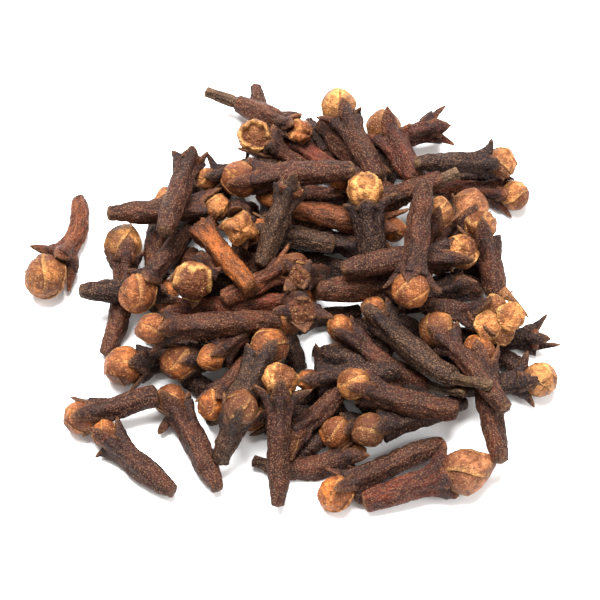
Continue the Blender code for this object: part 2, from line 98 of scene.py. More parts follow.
# From the bottom of the heap to its top
heapCloves = [
    clove((498, 178), (394, 172), 0, 1, "black", hidden="B"),
    clove((372, 236), (292, 236), 1.8, 1.35, "black", "rust", hidden="B"),
    clove((266, 172), (255, 240), 1.8, 1.35, "black", "rust", hidden="BF"),
    clove((270, 194), (343, 196), 1.8, 1.35, "dark", "rust", hidden="B"),
    clove((255, 415), (330, 422), 1.8, 1.35, "black", "rust", hidden="BF"),
    clove((357, 452), (268, 465), 1.15, 1.1, "dark", "tan", stalk=(252, 460), bow=(0, 8), girth=1.4,
          stalkTint="#3a2418"),
    clove((298, 296), (244, 255), 1.8, 1.25, "dark", "rust", hidden="B"),
    clove((290, 315), (357, 312), 1.8, 1.15, "grey", "rust", hidden="B"),
    clove((288, 443), (342, 391), 2, 1.25, "brown", "dusk", hidden="B"),
    clove((266, 158), (256, 85), 1.8, 1.15, "brown", "rust", hidden="B", footBy=(0, 3)),
    clove((383, 163), (362, 225), 1.8, 1.25, "black", "rust", hidden="F"),
    clove((298, 148), (348, 180), 0, 1.35, "red", hidden="F"),
    clove((375, 186), (324, 124), 2, 1.6, "brown", "rust", hidden="B"),
    clove((338, 104), (376, 178), 2.35, 1.55, "brown", "gold", lobes=((318, 115), (358, 110)), rise=-0.9,
          budBy=(0, 3), front=0.7),
    clove((350, 160), (405, 188), 1.8, 1.25, "dark", "rust", hidden="BF"),
    clove((436, 127), (362, 147), 0, 1.35, "red", lobes=((443, 104), (455, 144)), hidden="F", rise=2.7),
    clove((384, 124), (415, 176), 2.35, 1.7, "red", "tan", lobes=((364, 135), (410, 123)), rise=-2.7,
          budBy=(0, 5)),
    clove((300, 131), (238, 103), 1.7, 1.1, "dark", "rust", form="crumbly", stalk=(204, 91), girth=1.3,
          reach=0.5),
    clove((254, 137), (310, 172), 2.35, 1.35, "brown", "gold", form="cup", lobes=((275, 124),),
          hidden="F", gaze=1.0, front=0.3),
    clove((501, 163), (418, 163), 2.15, 1.3, "black", "tan", lobes=((494, 140), (505, 178)), front=0.4),
    clove((514, 196), (432, 187), 2.05, 1.35, "red", "tan", lobes=((503, 173), (512, 217)), front=0.5),
    clove((470, 208), (436, 266), 2.45, 1.45, "dark", "rose", hidden="F", gaze=0.5),
    clove((481, 226), (497, 297), 2.15, 1.55, "brown", "tan", form="cracked", lobes=((495, 245),),
          gaze=0.5),
    clove((123, 243), (108, 352), 2.45, 1.35, "dark", "gold", lobes=((103, 248), (143, 250)), bow=(7, 0)),
    clove((161, 198), (149, 270), 1.55, 1.25, "dark", "tan", girth=1.35, reach=0.45),
    clove((172, 314), (84, 290), 2, 1.2, "black", "rust", hidden="B", girth=1.25),
    clove((121, 366), (205, 360), 2.55, 1.35, "black", "rust", lobes=((120, 338), (142, 355)), hidden="F",
          gaze=0.5, budBy=(2, 0)),
    clove((181, 366), (262, 352), 2.25, 1.35, "black", "rust", hidden="F", budBy=(-3, -4)),
    clove((211, 358), (262, 312), 1.8, 1.35, "dark", "rust", lobes=((230, 365), (215, 334)), hidden="F"),
    clove((175, 312), (287, 299), 0, 1.35, "red"),
    clove((146, 328), (276, 322), 2.05, 1.35, "dark", "rust", lobes=((168, 305), (152, 354)),
          length=(9.5, 17), budBy=(6, 1), girth=1.12),
    clove((298, 274), (226, 298), 1.8, 1.3, "rusty", "dusk", hidden="B"),
    clove((192, 281), (212, 245), 2.7, 1.35, "dark", "tan", form="crescent", shell=(-1, -5),
          lobes=((200, 255), (216, 272)), rise=7.2, hidden="F", gaze=0.95),
    clove((138, 294), (196, 219), 2.5, 1.55, "dark", "rust", lobes=((128, 270), (165, 290)), girth=0.82),
    clove((208, 179), (272, 166), 1.55, 1.25, "black", "tan", lobes=((205, 151),), rise=1.8, hidden="F"),
    clove((216, 208), (112, 214), 1.9, 1.55, "dark", "tan", taper=0.6, front=0.2),
    clove((240, 179), (350, 171), 2.5, 1.55, "dark", "rust", lobes=((247, 158), (252, 195))),
    clove((190, 160), (165, 230), 0, 1.45, "brown", lobes=((175, 155), (207, 151)), taper=0.85, reach=0.6),
    clove((240, 227), (246, 216), 2.15, 1.35, "dark", "tan", form="crumbly",
          lobes=((218, 228), (258, 228)), rise=6.3, hidden="F", gaze=0.5),
    clove((258, 232), (330, 243), 1.8, 1.45, "grey", "rust", hidden="B"),
    clove((203, 230), (248, 285), 0, 1.55, "orange", lobes=((196, 226), (212, 222)), taper=0.85,
          girth=0.95),
    clove((372, 206), (441, 178), 1.8, 1.35, "brown", "rust", stalk=(459, 171), hidden="B"),
    clove((394, 229), (293, 207), 1.6, 1.55, "rusty", "orange"),
    clove((290, 188), (262, 262), 0, 1.65, "grey", lobes=((283, 178), (298, 182)), taper=0.85, girth=0.88),
    clove((364, 189), (374, 265), 2.45, 1.8, "black", "gold", form="cracked",
          lobes=((345, 207), (397, 193)), front=0.4, gaze=0.4),
    clove((298, 276), (306, 266), 0, 1.4, "dark", lobes=((280, 258), (310, 262)), rise=5.4, hidden="F",
          length=(7, 9)),
    clove((302, 310), (300, 298), 0, 1.6, "dark", lobes=((272, 311), (335, 317)), rise=5.4, hidden="F",
          length=(7, 9)),
    clove((440, 214), (436, 285), 2, 1.35, "dark", "gold", hidden="F"),
    clove((462, 282), (398, 302), 0, 1.35, "black", lobes=((455, 275), (476, 280)), hidden="F"),
    clove((405, 287), (318, 290), 1.8, 1.6, "dark", "rust", hidden="B"),
    clove((463, 251), (345, 268), 2.35, 1.6, "brown", "tan", form="cracked",
          lobes=((470, 236), (455, 270)), gaze=0.5),
    clove((410, 290), (424, 185), 2.45, 1.75, "brown", "rust", lobes=((384, 289), (439, 295)), taper=0.75,
          girth=0.88, front=0.6),
    clove((540, 378), (455, 372), 2.3, 1.35, "black", "gold", lobes=((526, 350), (535, 407)), hidden="F"),
    clove((537, 336), (452, 333), 0, 1.35, "black", lobes=((548, 314), (560, 343)), hidden="F"),
    clove((497, 320), (425, 305), 2.7, 1.45, "brown", "tan", form="flower", lobes=((520, 310),), rise=2.7,
          gaze=0.8, flakes=(((508, 296), (529, 318)), ((503, 298), (514, 290))), flakeShare=0.18),
    clove((478, 352), (500, 458), 2.15, 1.55, "brown", "orange"),
    clove((438, 330), (506, 407), 2.45, 1.55, "dark", "tan", lobes=((457, 322), (446, 350)), girth=0.82),
    clove((340, 328), (430, 385), 1.8, 1.45, "dark", "rust", lobes=((350, 316), (322, 345)),
          stalk=(463, 393), bow=(-2, 7), lift=5.0),
    clove((375, 308), (455, 378), 1.65, 1.55, "grey", "rust", lobes=((389, 297), (362, 318)),
          stalk=(488, 384), bow=(-4, 6), lift=5.5),
    clove((336, 432), (410, 420), 2.15, 1.35, "black", "rust", lobes=((347, 417),), hidden="F"),
    clove((369, 430), (462, 402), 2.15, 1.45, "black", "dusk", lobes=((380, 412), (390, 428))),
    clove((308, 380), (395, 375), 1.45, 1.45, "black", "rust", lobes=((317, 343), (322, 395)), hidden="F"),
    clove((354, 384), (453, 410), 2.15, 1.55, "dark", "tan", lobes=((369, 370), (356, 402)), bow=(-3, 4)),
    clove((213, 404), (245, 375), 1.95, 1.25, "dark", "orange", rise=2.7, hidden="F"),
    clove((268, 345), (238, 402), 2.55, 1.8, "grey", "rust", lobes=((245, 343), (290, 345)), taper=1.05),
    clove((240, 408), (221, 458), 2.15, 1.35, "grey", "dusk", rise=5.4, length=(8, 10),
          flakes=(((236, 418), (222, 404)),)),
    clove((170, 400), (216, 486), 2.15, 1.55, "brown", "rust", lobes=((188, 392), (157, 434)),
          bow=(1, -3), taper=0.6),
    clove((80, 418), (157, 389), 2.15, 1.35, "brown", "rust", footBy=(-2, 7), taper=1.0),
    clove((104, 432), (171, 489), 1.8, 1.6, "brown", "rust", lobes=((116, 416), (95, 453)), bow=(-2, 3),
          taper=0.6),
    clove((281, 380), (278, 502), 2.35, 1.4, "brown", "tan", form="shelled", shell=(-5, -2),
          lobes=((252, 386), (312, 390)), rise=6.3, gaze=0.55, taper=0.6),
    clove((340, 489), (446, 439), 2.35, 1.45, "brown", "orange", lobes=((325, 469), (363, 505)),
          length=(9.5, 17), bow=(-3, -2), taper=0.8, budBy=(-8, 4), footBy=(-10, 5)),
    clove((468, 470), (366, 503), 3.05, 1.75, "red", "rose", form="pointed",
          lobes=((446, 442), (458, 498)), length=(9.5, 16), budBy=(-7, 3), footBy=(-2, 0), taper=0.9,
          girth=0.92, front=0.4),
]

# Dark cloves at the bottom that only show through gaps of the heap: a real lower layer of cloves, all in the
# black skin so that they also stand in as painted shade for the deep gaps
deepCloves = [
    ((318, 352), (364, 362)), ((496, 352), (526, 374)), ((180, 375), (218, 396)), ((150, 338), (194, 348)),
    ((290, 405), (324, 391)), ((303, 257), (348, 273)), ((310, 124), (326, 150)), ((286, 334), (298, 368)),
    ((302, 454), (324, 434)), ((464, 260), (484, 278)), ((186, 185), (232, 196)), ((198, 299), (234, 277)),
    ((270, 245), (292, 257)), ((360, 324), (388, 352)), ((404, 320), (422, 340)), ((362, 404), (382, 413)),
    ((206, 392), (214, 420)), ((270, 390), (300, 430)), ((330, 400), (350, 440)),
]

strayClove = clove((46, 276), (79, 198), 2.9, 1.05, "rusty", "tan", lobes=((29, 247), (70, 292)),
                   via=(75, 234), footBy=(0, 3), girth=1.3, front=0.6)

focalPixels = sight["pixelsPerMm"] * sight["distance"] / mm
toward = np.array([0.0, -math.cos(sight["elevation"]), math.sin(sight["elevation"])])
upward = np.array([0.0, math.sin(sight["elevation"]), math.cos(sight["elevation"])])
rightward = np.array([1.0, 0.0, 0.0])
eye = toward * sight["distance"]


def sightLine(pixel):  # the direction from the eye through a pixel of the photo
    right = (pixel[0] - sight["centre"][0]) / focalPixels
    up = (sight["centre"][1] - pixel[1]) / focalPixels
    ray = rightward * right + upward * up - toward
    return ray / np.linalg.norm(ray)


def atHeight(pixel, height):  # the point on a pixel's sight line at a height over the floor
    ray = sightLine(pixel)
    return eye + ray * (height - eye[2]) / ray[2]


def across(right, down):  # a shift in pixels, as a shift in metres that faces the viewer
    return (rightward * right - upward * down) * mm / sight["pixelsPerMm"]


def nearestOnSight(pixel, point):  # the point on a pixel's sight line that lies nearest to a point
    ray = sightLine(pixel)
    return eye + ray * ((point - eye) @ ray)


# Balls that stand for one clove as it settles: place along its axis (0 foot, 1 bud) and radius
def beadsOf(item):
    stem = item["stem"] * mm
    along = np.linspace(0.0, 1.0, settling["stations"])
    radii = np.select([along < 0.05, along < 0.75], [0.8 * stem, stem], 1.1 * stem)
    radii[-1] = item["ball"] * mm or 1.3 * stem
    if item.get("fixed"):
        radii[:] = stem
    if "stalk" in item:
        reach = math.dist(item["stalk"], item["foot"]) / math.dist(item["bud"], item["foot"])
        along = np.append(along, [-0.5 * reach, -reach])
        radii = np.append(radii, [settling["stalkRadius"]] * 2)
    return along, radii


def sagOf(item):  # how far the middle of a bent axis lies from the straight line between its ends
    middle = (np.array(item["bud"]) + np.array(item["foot"])) / 2
    bend = np.array(item.get("via", middle)) - middle
    return across(bend[0], bend[1])


# The height at which a ball on a pixel's sight line just rests on the balls that are placed already
def clearHeight(pixel, radius, placed):
    height = radius
    ray = sightLine(pixel)
    reach = placed[:, 3] + radius - settling["press"]
    offset = placed[:, :3] - eye
    depth = offset @ ray
    apart = (offset ** 2).sum(axis=1) - depth ** 2
    near = apart < reach ** 2
    if near.any():
        touch = depth[near] - np.sqrt(reach[near] ** 2 - apart[near])
        height = max(height, eye[2] + ray[2] * touch.min())
    return height


def firstHeights(items):  # where the ends of each clove start, before they settle
    placed = np.zeros((0, 4))
    feet, buds = [], []
    for item in items:
        along, radii = beadsOf(item)
        foot, bud = np.array(item["foot"], float), np.array(item["bud"], float)
        pixels = [foot * (1 - t) + bud * t for t in along]
        rise = item.get("rise", 0) * mm
        heights = [clearHeight(pixel, radius, placed) for pixel, radius in zip(pixels, radii)]
        base = settling["lumpHeight"] if item.get("fixed") else (heights - rise * along).max()
        spots = [atHeight(pixel, base + rise * t) for pixel, t in zip(pixels, along)]
        placed = np.vstack([placed, np.column_stack([spots, radii])])
        start = base if item.get("fixed") else base * settling["squeeze"]
        feet.append(atHeight(foot, start))
        buds.append(atHeight(bud, start + rise))
    return np.array(feet), np.array(buds)


class Heap:  # cloves as straight or bent rows of balls, with the ends that move as they settle
    def __init__(self, items):
        self.items = items
        self.count = len(items)
        self.feet, self.buds = firstHeights(items)
        beads = [beadsOf(item) for item in items]
        self.owner = np.concatenate([np.full(len(along), i) for i, (along, _) in enumerate(beads)])
        self.along = np.concatenate([along for along, _ in beads])
        self.radius = np.concatenate([radii for _, radii in beads])
        bends = [4 * np.outer(along * (1 - along), sagOf(item)) for (along, _), item in zip(beads, items)]
        self.bend = np.concatenate(bends)
        self.toBud = np.clip(self.along, 0, 1)
        self.free = np.array([0.0 if item.get("fixed") else 1.0 for item in items])

    def spots(self):
        along = self.along[:, None]
        return self.feet[self.owner] * (1 - along) + self.buds[self.owner] * along + self.bend

    def ends(self):
        return (self.feet, 1 - self.toBud), (self.buds, self.toBud)

    def holdInView(self):  # pulls each end back to its sight line, weakly where others cover it
        for end, pixelName, letter in ((self.feet, "foot", "F"), (self.buds, "bud", "B")):
            rays = np.array([sightLine(item[pixelName]) for item in self.items])
            covered = np.array([letter in item.get("hidden", "") for item in self.items])
            pull = np.where(covered, settling["coveredPull"], settling["seenPull"])
            depth = ((end - eye) * rays).sum(axis=1)[:, None]
            end += (eye + rays * depth - end) * (pull * self.free)[:, None]

    def holdForm(self):  # keeps each clove's length and slope within its limits
        lengths = np.array([item.get("length", settling["axisLength"]) for item in self.items]) * mm
        span = self.buds - self.feet
        length = np.linalg.norm(span, axis=1)
        error = np.clip(length, lengths[:, 0], lengths[:, 1]) - length
        shift = span * (settling["formPull"] * error * self.free / length)[:, None]
        self.buds += shift
        self.feet -= shift
        least = np.array([item.get("rise", -settling["mostRise"]) for item in self.items]) * mm
        most = np.array([item.get("rise", settling["mostRise"]) for item in self.items]) * mm
        rise = self.buds[:, 2] - self.feet[:, 2]
        tilt = settling["formPull"] * (np.clip(rise, least, most) - rise) * self.free
        self.buds[:, 2] += tilt
        self.feet[:, 2] -= tilt

    def nearPairs(self):
        here = self.spots()
        gap = np.linalg.norm(here[:, None] - here[None], axis=2)
        gap -= self.radius[:, None] + self.radius[None]
        return np.nonzero((gap < settling["nearMargin"]) & (self.owner[:, None] > self.owner[None]))

    def pushApart(self, pairs):  # the upper clove of a pair stays above or in front
        here = self.spots()
        upper, lower = pairs
        apart = here[upper] - here[lower]
        distance = np.linalg.norm(apart, axis=1) + 1e-9
        reach = self.radius[upper] + self.radius[lower] - settling["press"]
        hit = distance < reach
        upper, lower = upper[hit], lower[hit]
        way = apart[hit] / distance[hit][:, None]
        behind = np.clip(settling["leastFront"] - way @ toward, 0, None)
        way = way + settling["frontBias"] * behind[:, None] * toward
        way = way + np.array([0.0, 0.0, settling["liftBias"]])
        push = way / np.linalg.norm(way, axis=1)[:, None] * (reach - distance)[hit][:, None]
        gives = self.free[self.owner[lower]] > 0
        upperPart = np.where(gives, settling["upperShare"], 1.0)
        for end, share in self.ends():
            total = np.zeros((self.count, 3))
            weight = np.zeros(self.count)
            for bead, part in ((upper, upperPart), (lower, upperPart - 1)):
                np.add.at(total, self.owner[bead], push * (part * share[bead])[:, None])
                np.add.at(weight, self.owner[bead], share[bead])
            end += total * (settling["pushGain"] * self.free / np.maximum(weight, 1.0))[:, None]

    def stayAboveFloor(self):
        lever = (1 - self.toBud) ** 2 + self.toBud ** 2
        sunk = np.clip(self.radius - self.spots()[:, 2], 0, None) / lever
        for end, share in self.ends():
            lift = np.zeros(self.count)
            np.maximum.at(lift, self.owner, sunk * share)
            end[:, 2] += lift * self.free

    def settle(self):
        for step in range(settling["steps"]):
            late = step >= settling["lateShare"] * settling["steps"]
            fall = settling["lateFall" if late else "fall"]
            self.feet[:, 2] -= fall * self.free
            self.buds[:, 2] -= fall * self.free
            self.holdInView()
            self.holdForm()
            if step % settling["stepsPerSearch"] == 0:
                pairs = self.nearPairs()
            for _ in range(settling["pushesPerStep"]):
                self.pushApart(pairs)
                self.stayAboveFloor()

    def touchingGroups(self):
        here = self.spots()
        distance = np.linalg.norm(here[:, None] - here[None], axis=2)
        overlap = self.radius[:, None] + self.radius[None] - distance
        group = np.arange(self.count)
        above = self.owner[:, None] > self.owner[None]
        for a, b in zip(*np.nonzero((overlap > settling["leastJoin"]) & above)):
            first, second = group[self.owner[a]], group[self.owner[b]]
            group[group == max(first, second)] = min(first, second)
        return group

    def gather(self):  # slides loose cloves sideways until all touch the rest
        while True:
            group = self.touchingGroups()
            numbers, sizes = np.unique(group, return_counts=True)
            if len(numbers) == 1:
                return
            loose = group == numbers[np.argmin(sizes)]
            inside = loose[self.owner]
            here = self.spots()
            span = here[~inside][None] - here[inside][:, None]
            reach = self.radius[inside][:, None] + self.radius[~inside][None] - settling["press"]
            flat = np.linalg.norm(span[..., :2], axis=2)
            level = reach ** 2 - span[..., 2] ** 2
            slide = np.where(level > 0, flat - np.sqrt(np.clip(level, 0, None)), np.inf)
            a, b = np.unravel_index(np.argmin(slide), slide.shape)
            step = span[a, b] * np.array([1.0, 1.0, 0.0]) / flat[a, b] * (slide[a, b] + 0.05 * mm)
            self.feet[loose] += step
            self.buds[loose] += step


def smooth(low, high, value):
    t = np.clip((value - low) / (high - low), 0, 1)
    return t * t * (3 - 2 * t)


def toLinear(code):  # sRGB hex to linear colour
    parts = [int(code[i:i + 2], 16) / 255 for i in (1, 3, 5)]
    return tuple(c / 12.92 if c <= 0.04045 else ((c + 0.055) / 1.055) ** 2.4 for c in parts) + (1.0,)


def addNode(tree, kind, inputs=(), **settings):  # inputs are in the sockets' order, None keeps a default
    node = tree.nodes.new(kind)
    for name, value in settings.items():
        setattr(node, name, value)
    pairs = inputs.items() if isinstance(inputs, dict) else enumerate(inputs)
    for key, value in pairs:
        if isinstance(value, bpy.types.Node):
            value = next(out for out in value.outputs if out.enabled)
        if isinstance(value, bpy.types.NodeSocket):
            tree.links.new(value, node.inputs[key])
        elif value is not None:
            node.inputs[key].default_value = value
    return node


def startTree(name, sizes):  # a Geometry Nodes tree with one named input for each size
    tree = bpy.data.node_groups.new(name, "GeometryNodeTree")
    tree.interface.new_socket("Geometry", in_out="INPUT", socket_type="NodeSocketGeometry")
    tree.interface.new_socket("Geometry", in_out="OUTPUT", socket_type="NodeSocketGeometry")
    kinds = {int: "NodeSocketInt", float: "NodeSocketFloat", str: "NodeSocketMaterial",
             list: "NodeSocketCollection"}
    for label, value in sizes.items():
        tree.interface.new_socket(label, in_out="INPUT", socket_type=kinds[type(value)])
    return tree, tree.nodes.new("NodeGroupInput")


def grow(name, guide, tree, sizes):  # runs a tree on a guide object and keeps the result as a plain mesh
    modifier = guide.modifiers.new(tree.name, "NODES")
    modifier.node_group = tree
    for item in tree.interface.items_tree:
        if item.in_out == "INPUT" and item.name in sizes:
            modifier[item.identifier] = sizes[item.name]
    graph = bpy.context.evaluated_depsgraph_get()
    mesh = bpy.data.meshes.new_from_object(guide.evaluated_get(graph), preserve_all_data_layers=True,
                                           depsgraph=graph)
    mesh.name = name
    piece = bpy.data.objects.new(name, mesh)
    bpy.context.scene.collection.objects.link(piece)
    guide.modifiers.clear()
    bpy.data.objects.remove(guide)
    print(name, len(mesh.polygons), "faces")
    return piece


def guideMesh(name, points, edges, values):  # points that carry named values, for a tree to read
    mesh = bpy.data.meshes.new(name)
    mesh.from_pydata([tuple(point) for point in points], edges, [])
    fields = {"FLOAT_VECTOR": "vector", "FLOAT_COLOR": "color"}
    for label, (kind, numbers) in values.items():
        layer = mesh.attributes.new(label, kind, "POINT")
        numbers = np.asarray(numbers, np.int32 if kind == "INT" else np.float32).ravel()
        layer.data.foreach_set(fields.get(kind, "value"), numbers)
    guide = bpy.data.objects.new(name, mesh)
    bpy.context.scene.collection.objects.link(guide)
    return guide


# Skins of the stems: a dried flower tube, near-black purple to reddish brown, dull and granular
skins = {
    "black": ("#22100e", "#2b1612"),
    "dark": ("#431e11", "#502815"),
    "brown": ("#3c1b10", "#472213"),
    "red": ("#582111", "#652d17"),
    "rusty": ("#6b3419", "#793f20"),
    "orange": ("#803f13", "#904b19"),
    "grey": ("#301e14", "#3b271a"),
}

# Colours of the round buds: gold where the papery petals are whole, rust where they are rubbed
tops = {"gold": "#c4864a", "tan": "#ac6e3b", "orange": "#b8682c", "rust": "#9f5c2d", "rose": "#9a623e",
        "dusk": "#623c22"}

# The stems. Widths, depths and heights are in mm, shares are of the bud's radius
stemSizes = {
    "guidePoints": 40, "Stations": 76, "Sides": 30, "Wrinkle Width": 0.95, "Wrinkle Depth": 0.2,
    "Lump Width": 3.2, "Lump Depth": 0.5, "Ridge Height": 0.5, "Grain Width": 0.42, "Grain Depth": 0.1,
    "crook": 0.25, "collarShare": 0.8, "crownShare": 0.84, "stalkGirth": 0.75, "swelling": 1.03,
    "squareness": 0.05, "wrinkleStretch": 0.17, "fibreStretch": 0.22, "flareReach": 1.5,
    "stalkTint": "#55412e", "scarTint": "#8d6b48", "crookSeed": 5,
}
stemInputs = {key: value for key, value in stemSizes.items() if key[0].isupper()}


# How thick a clove is along its axis. Distances are in metres from the foot towards the bud
def stemShape(item, foot, bud, chance):
    ball, stem = item["ball"] * mm, item["stem"] * mm * item.get("girth", stemSizes["swelling"])
    length = float(np.linalg.norm(bud - foot))
    crown = length - stemSizes["crownShare"] * ball
    collar = max(1.18 * stem, stemSizes["collarShare"] * ball) if ball else 1.22 * stem
    taper, swell = item.get("taper", chance.uniform(0.62, 0.85)), chance.uniform(1.0, 1.08)
    if item.get("fixed"):
        crown, collar, taper = length + 0.4 * stem, 0.5 * stem, 0.8
    start, capLength = -0.45 * stem, 0.5 * taper * stem
    if "stalk" in item:
        start = -math.dist(item["stalk"], item["foot"]) / sight["pixelsPerMm"] * mm
        capLength = 0.25 * mm

    # Stations stand closer where the foot is rounded off and where the calyx closes over the bud's seat
    even = np.linspace(start, crown, stemSizes["guidePoints"] - 8)
    atFoot = start + capLength * np.array([0.04, 0.15, 0.4, 0.75])
    pastCrown = crown + np.array([0.06, 0.12, 0.16, 0.18]) * stem
    stations = np.sort(np.concatenate([even, atFoot, pastCrown]))
    share = [taper, 0.45 * taper + 0.53, 0.98, swell, 1.0, 0.97]
    body = np.interp(stations / crown, [0.0, 0.12, 0.27, 0.55, 0.8, 1.0], share) * stem
    waist = np.exp(-((stations - crown + 1.9 * stem) / (0.6 * stem)) ** 2)
    body = body * (1 - 0.08 * waist)
    flared = smooth(crown - 1.5 * stem, crown - 0.05 * stem, stations)
    girths = body * (1 - flared) + collar * flared
    if "stalk" in item:
        thin = stemSizes["stalkGirth"] * mm
        girths = thin + (girths - thin) * smooth(-0.3 * stem, 0.05 * stem, stations)
    fromEnd = np.clip((stations - start) / capLength, 0, 1)
    girths = girths * np.sqrt(np.clip(1 - (1 - fromEnd) ** 2.5, 0.001, 1))
    girths[-4:] = collar * np.array([0.99, 0.92, 0.55, 0.02])
    return stations, girths, crown, collar, length


# Vector noise takes its offsets from the clock unless it is given a seed
noise.seed_set(stemSizes["crookSeed"])


def axisPoint(item, foot, bud, length, distance, seed):
    t = distance / length
    if t < 0 and "stalk" in item:
        way = across(item["stalk"][0] - item["foot"][0], item["stalk"][1] - item["foot"][1])
        lift = toward * item.get("lift", 0.0) * mm * -distance / np.linalg.norm(way)
        straight = foot + way / np.linalg.norm(way) * -distance + lift
    else:
        bow = sagOf(item) + across(*item.get("bow", (0, 0)))
        straight = foot * (1 - t) + bud * t + 4 * bow * t * (1 - t)
    fade = np.clip(4 * t * (1 - t), 0, 1)
    wobble = noise.noise_vector(Vector((t * 2.1, seed * 3.7, 0.5))) * stemSizes["crook"] * mm
    return straight + np.array(wobble) * fade


# The tree that turns each guide's axis into a closed stem with ridges, wrinkles and lumps
def makeStemTree():
    tree, given = startTree("grow stems", {**stemInputs, "Skin": ""})
    out = given.outputs
    place = addNode(tree, "GeometryNodeInputPosition")
    tangent = addNode(tree, "GeometryNodeInputTangent")
    travelled = addNode(tree, "GeometryNodeSplineParameter").outputs["Length"]
    curve = addNode(tree, "GeometryNodeMeshToCurve", [out["Geometry"]])
    curve = addNode(tree, "GeometryNodeCurveSplineType", [curve], spline_type="POLY")
    curve = addNode(tree, "GeometryNodeResampleCurve", {"Curve": curve, "Count": out["Stations"]})
    for label, value, kind in (("spine", place, "FLOAT_VECTOR"), ("heading", tangent, "FLOAT_VECTOR"),
                               ("run", travelled, "FLOAT")):
        curve = addNode(tree, "GeometryNodeStoreNamedAttribute",
                        {"Geometry": curve, "Name": label, "Value": value}, data_type=kind)
    girth, run, seed, flare = [
        addNode(tree, "GeometryNodeInputNamedAttribute", {"Name": label}, data_type="FLOAT")
        for label in ("girth", "run", "seed", "flare")]
    spine, heading, side = [
        addNode(tree, "GeometryNodeInputNamedAttribute", {"Name": label}, data_type="FLOAT_VECTOR")
        for label in ("spine", "heading", "side")]
    ring = addNode(tree, "GeometryNodeCurvePrimitiveCircle", {"Resolution": out["Sides"], "Radius": 1.0})
    skin = addNode(tree, "GeometryNodeCurveToMesh",
                   {"Curve": curve, "Profile Curve": ring, "Scale": girth, "Fill Caps": True})

    # Directions round the axis, for four ridges that run down from the sepals
    arm = addNode(tree, "ShaderNodeVectorMath", [place, spine], operation="SUBTRACT")
    outward = addNode(tree, "ShaderNodeVectorMath", [arm], operation="NORMALIZE")
    thick = addNode(tree, "ShaderNodeVectorMath", [arm], operation="LENGTH").outputs["Value"]
    other = addNode(tree, "ShaderNodeVectorMath", [heading, side], operation="CROSS_PRODUCT")
    sine, cosine = [
        addNode(tree, "ShaderNodeVectorMath", [outward, way], operation="DOT_PRODUCT").outputs["Value"]
        for way in (other, side)]
    angle = addNode(tree, "ShaderNodeMath", [sine, cosine], operation="ARCTAN2")
    fourfold = addNode(tree, "ShaderNodeMath", [angle, 4.0], operation="MULTIPLY")
    fourfold = addNode(tree, "ShaderNodeMath", [fourfold], operation="COSINE")
    ridge = addNode(tree, "ShaderNodeMath", [fourfold, flare], operation="MULTIPLY")
    ridge = addNode(tree, "ShaderNodeMath", [ridge, out["Ridge Height"]], operation="MULTIPLY")
    square = addNode(tree, "ShaderNodeMath", [fourfold, stemSizes["squareness"]], operation="MULTIPLY")

    # Places in mm that are drawn out along the axis: one for wrinkles, one for the fibres of the finish
    drift = addNode(tree, "ShaderNodeCombineXYZ", [seed, seed, seed])
    drift = addNode(tree, "ShaderNodeVectorMath", [drift, (13.7, 7.3, 3.1)], operation="MULTIPLY")
    roundAxis = addNode(tree, "ShaderNodeVectorMath", {0: arm, 3: 1000.0}, operation="SCALE")
    drawnOut = []
    for stretch in (stemSizes["wrinkleStretch"], stemSizes["fibreStretch"]):
        reach = addNode(tree, "ShaderNodeMath", [run, 1000.0 * stretch], operation="MULTIPLY")
        reach = addNode(tree, "ShaderNodeVectorMath", {0: heading, 3: reach}, operation="SCALE")
        spot = addNode(tree, "ShaderNodeVectorMath", [roundAxis, reach], operation="ADD")
        drawnOut.append(addNode(tree, "ShaderNodeVectorMath", [spot, drift], operation="ADD"))
    wrinklePlace, fibre = drawnOut

    # Wrinkles lie where the drawn-out noise crosses its middle value
    scale = addNode(tree, "ShaderNodeMath", [1.0, out["Wrinkle Width"]], operation="DIVIDE")
    wave = addNode(tree, "ShaderNodeTexNoise", {"Vector": wrinklePlace, "Scale": scale, "Detail": 3.0})
    wave = addNode(tree, "ShaderNodeMath", [wave.outputs[0], 0.5], operation="SUBTRACT")
    wave = addNode(tree, "ShaderNodeMath", [wave], operation="ABSOLUTE")
    crease = addNode(tree, "ShaderNodeMapRange",
                     {"Value": wave, "From Min": 0.0, "From Max": 0.09, "To Min": 1.0, "To Max": 0.0})
    dent = addNode(tree, "ShaderNodeMath", [crease, out["Wrinkle Depth"]], operation="MULTIPLY")

    # Lumps over the whole stem, and coarse grain
    place = addNode(tree, "ShaderNodeVectorMath", {0: place, 3: 1000.0}, operation="SCALE")
    place = addNode(tree, "ShaderNodeVectorMath", [place, drift], operation="ADD")
    swellings = []
    for label in ("Lump", "Grain"):
        scale = addNode(tree, "ShaderNodeMath", [1.0, out[label + " Width"]], operation="DIVIDE")
        wave = addNode(tree, "ShaderNodeTexNoise", {"Vector": place, "Scale": scale, "Detail": 1.0})
        wave = addNode(tree, "ShaderNodeMath", [wave.outputs[0], 0.5], operation="SUBTRACT")
        swellings.append(addNode(tree, "ShaderNodeMath", [wave, out[label + " Depth"]], operation="MULTIPLY"))

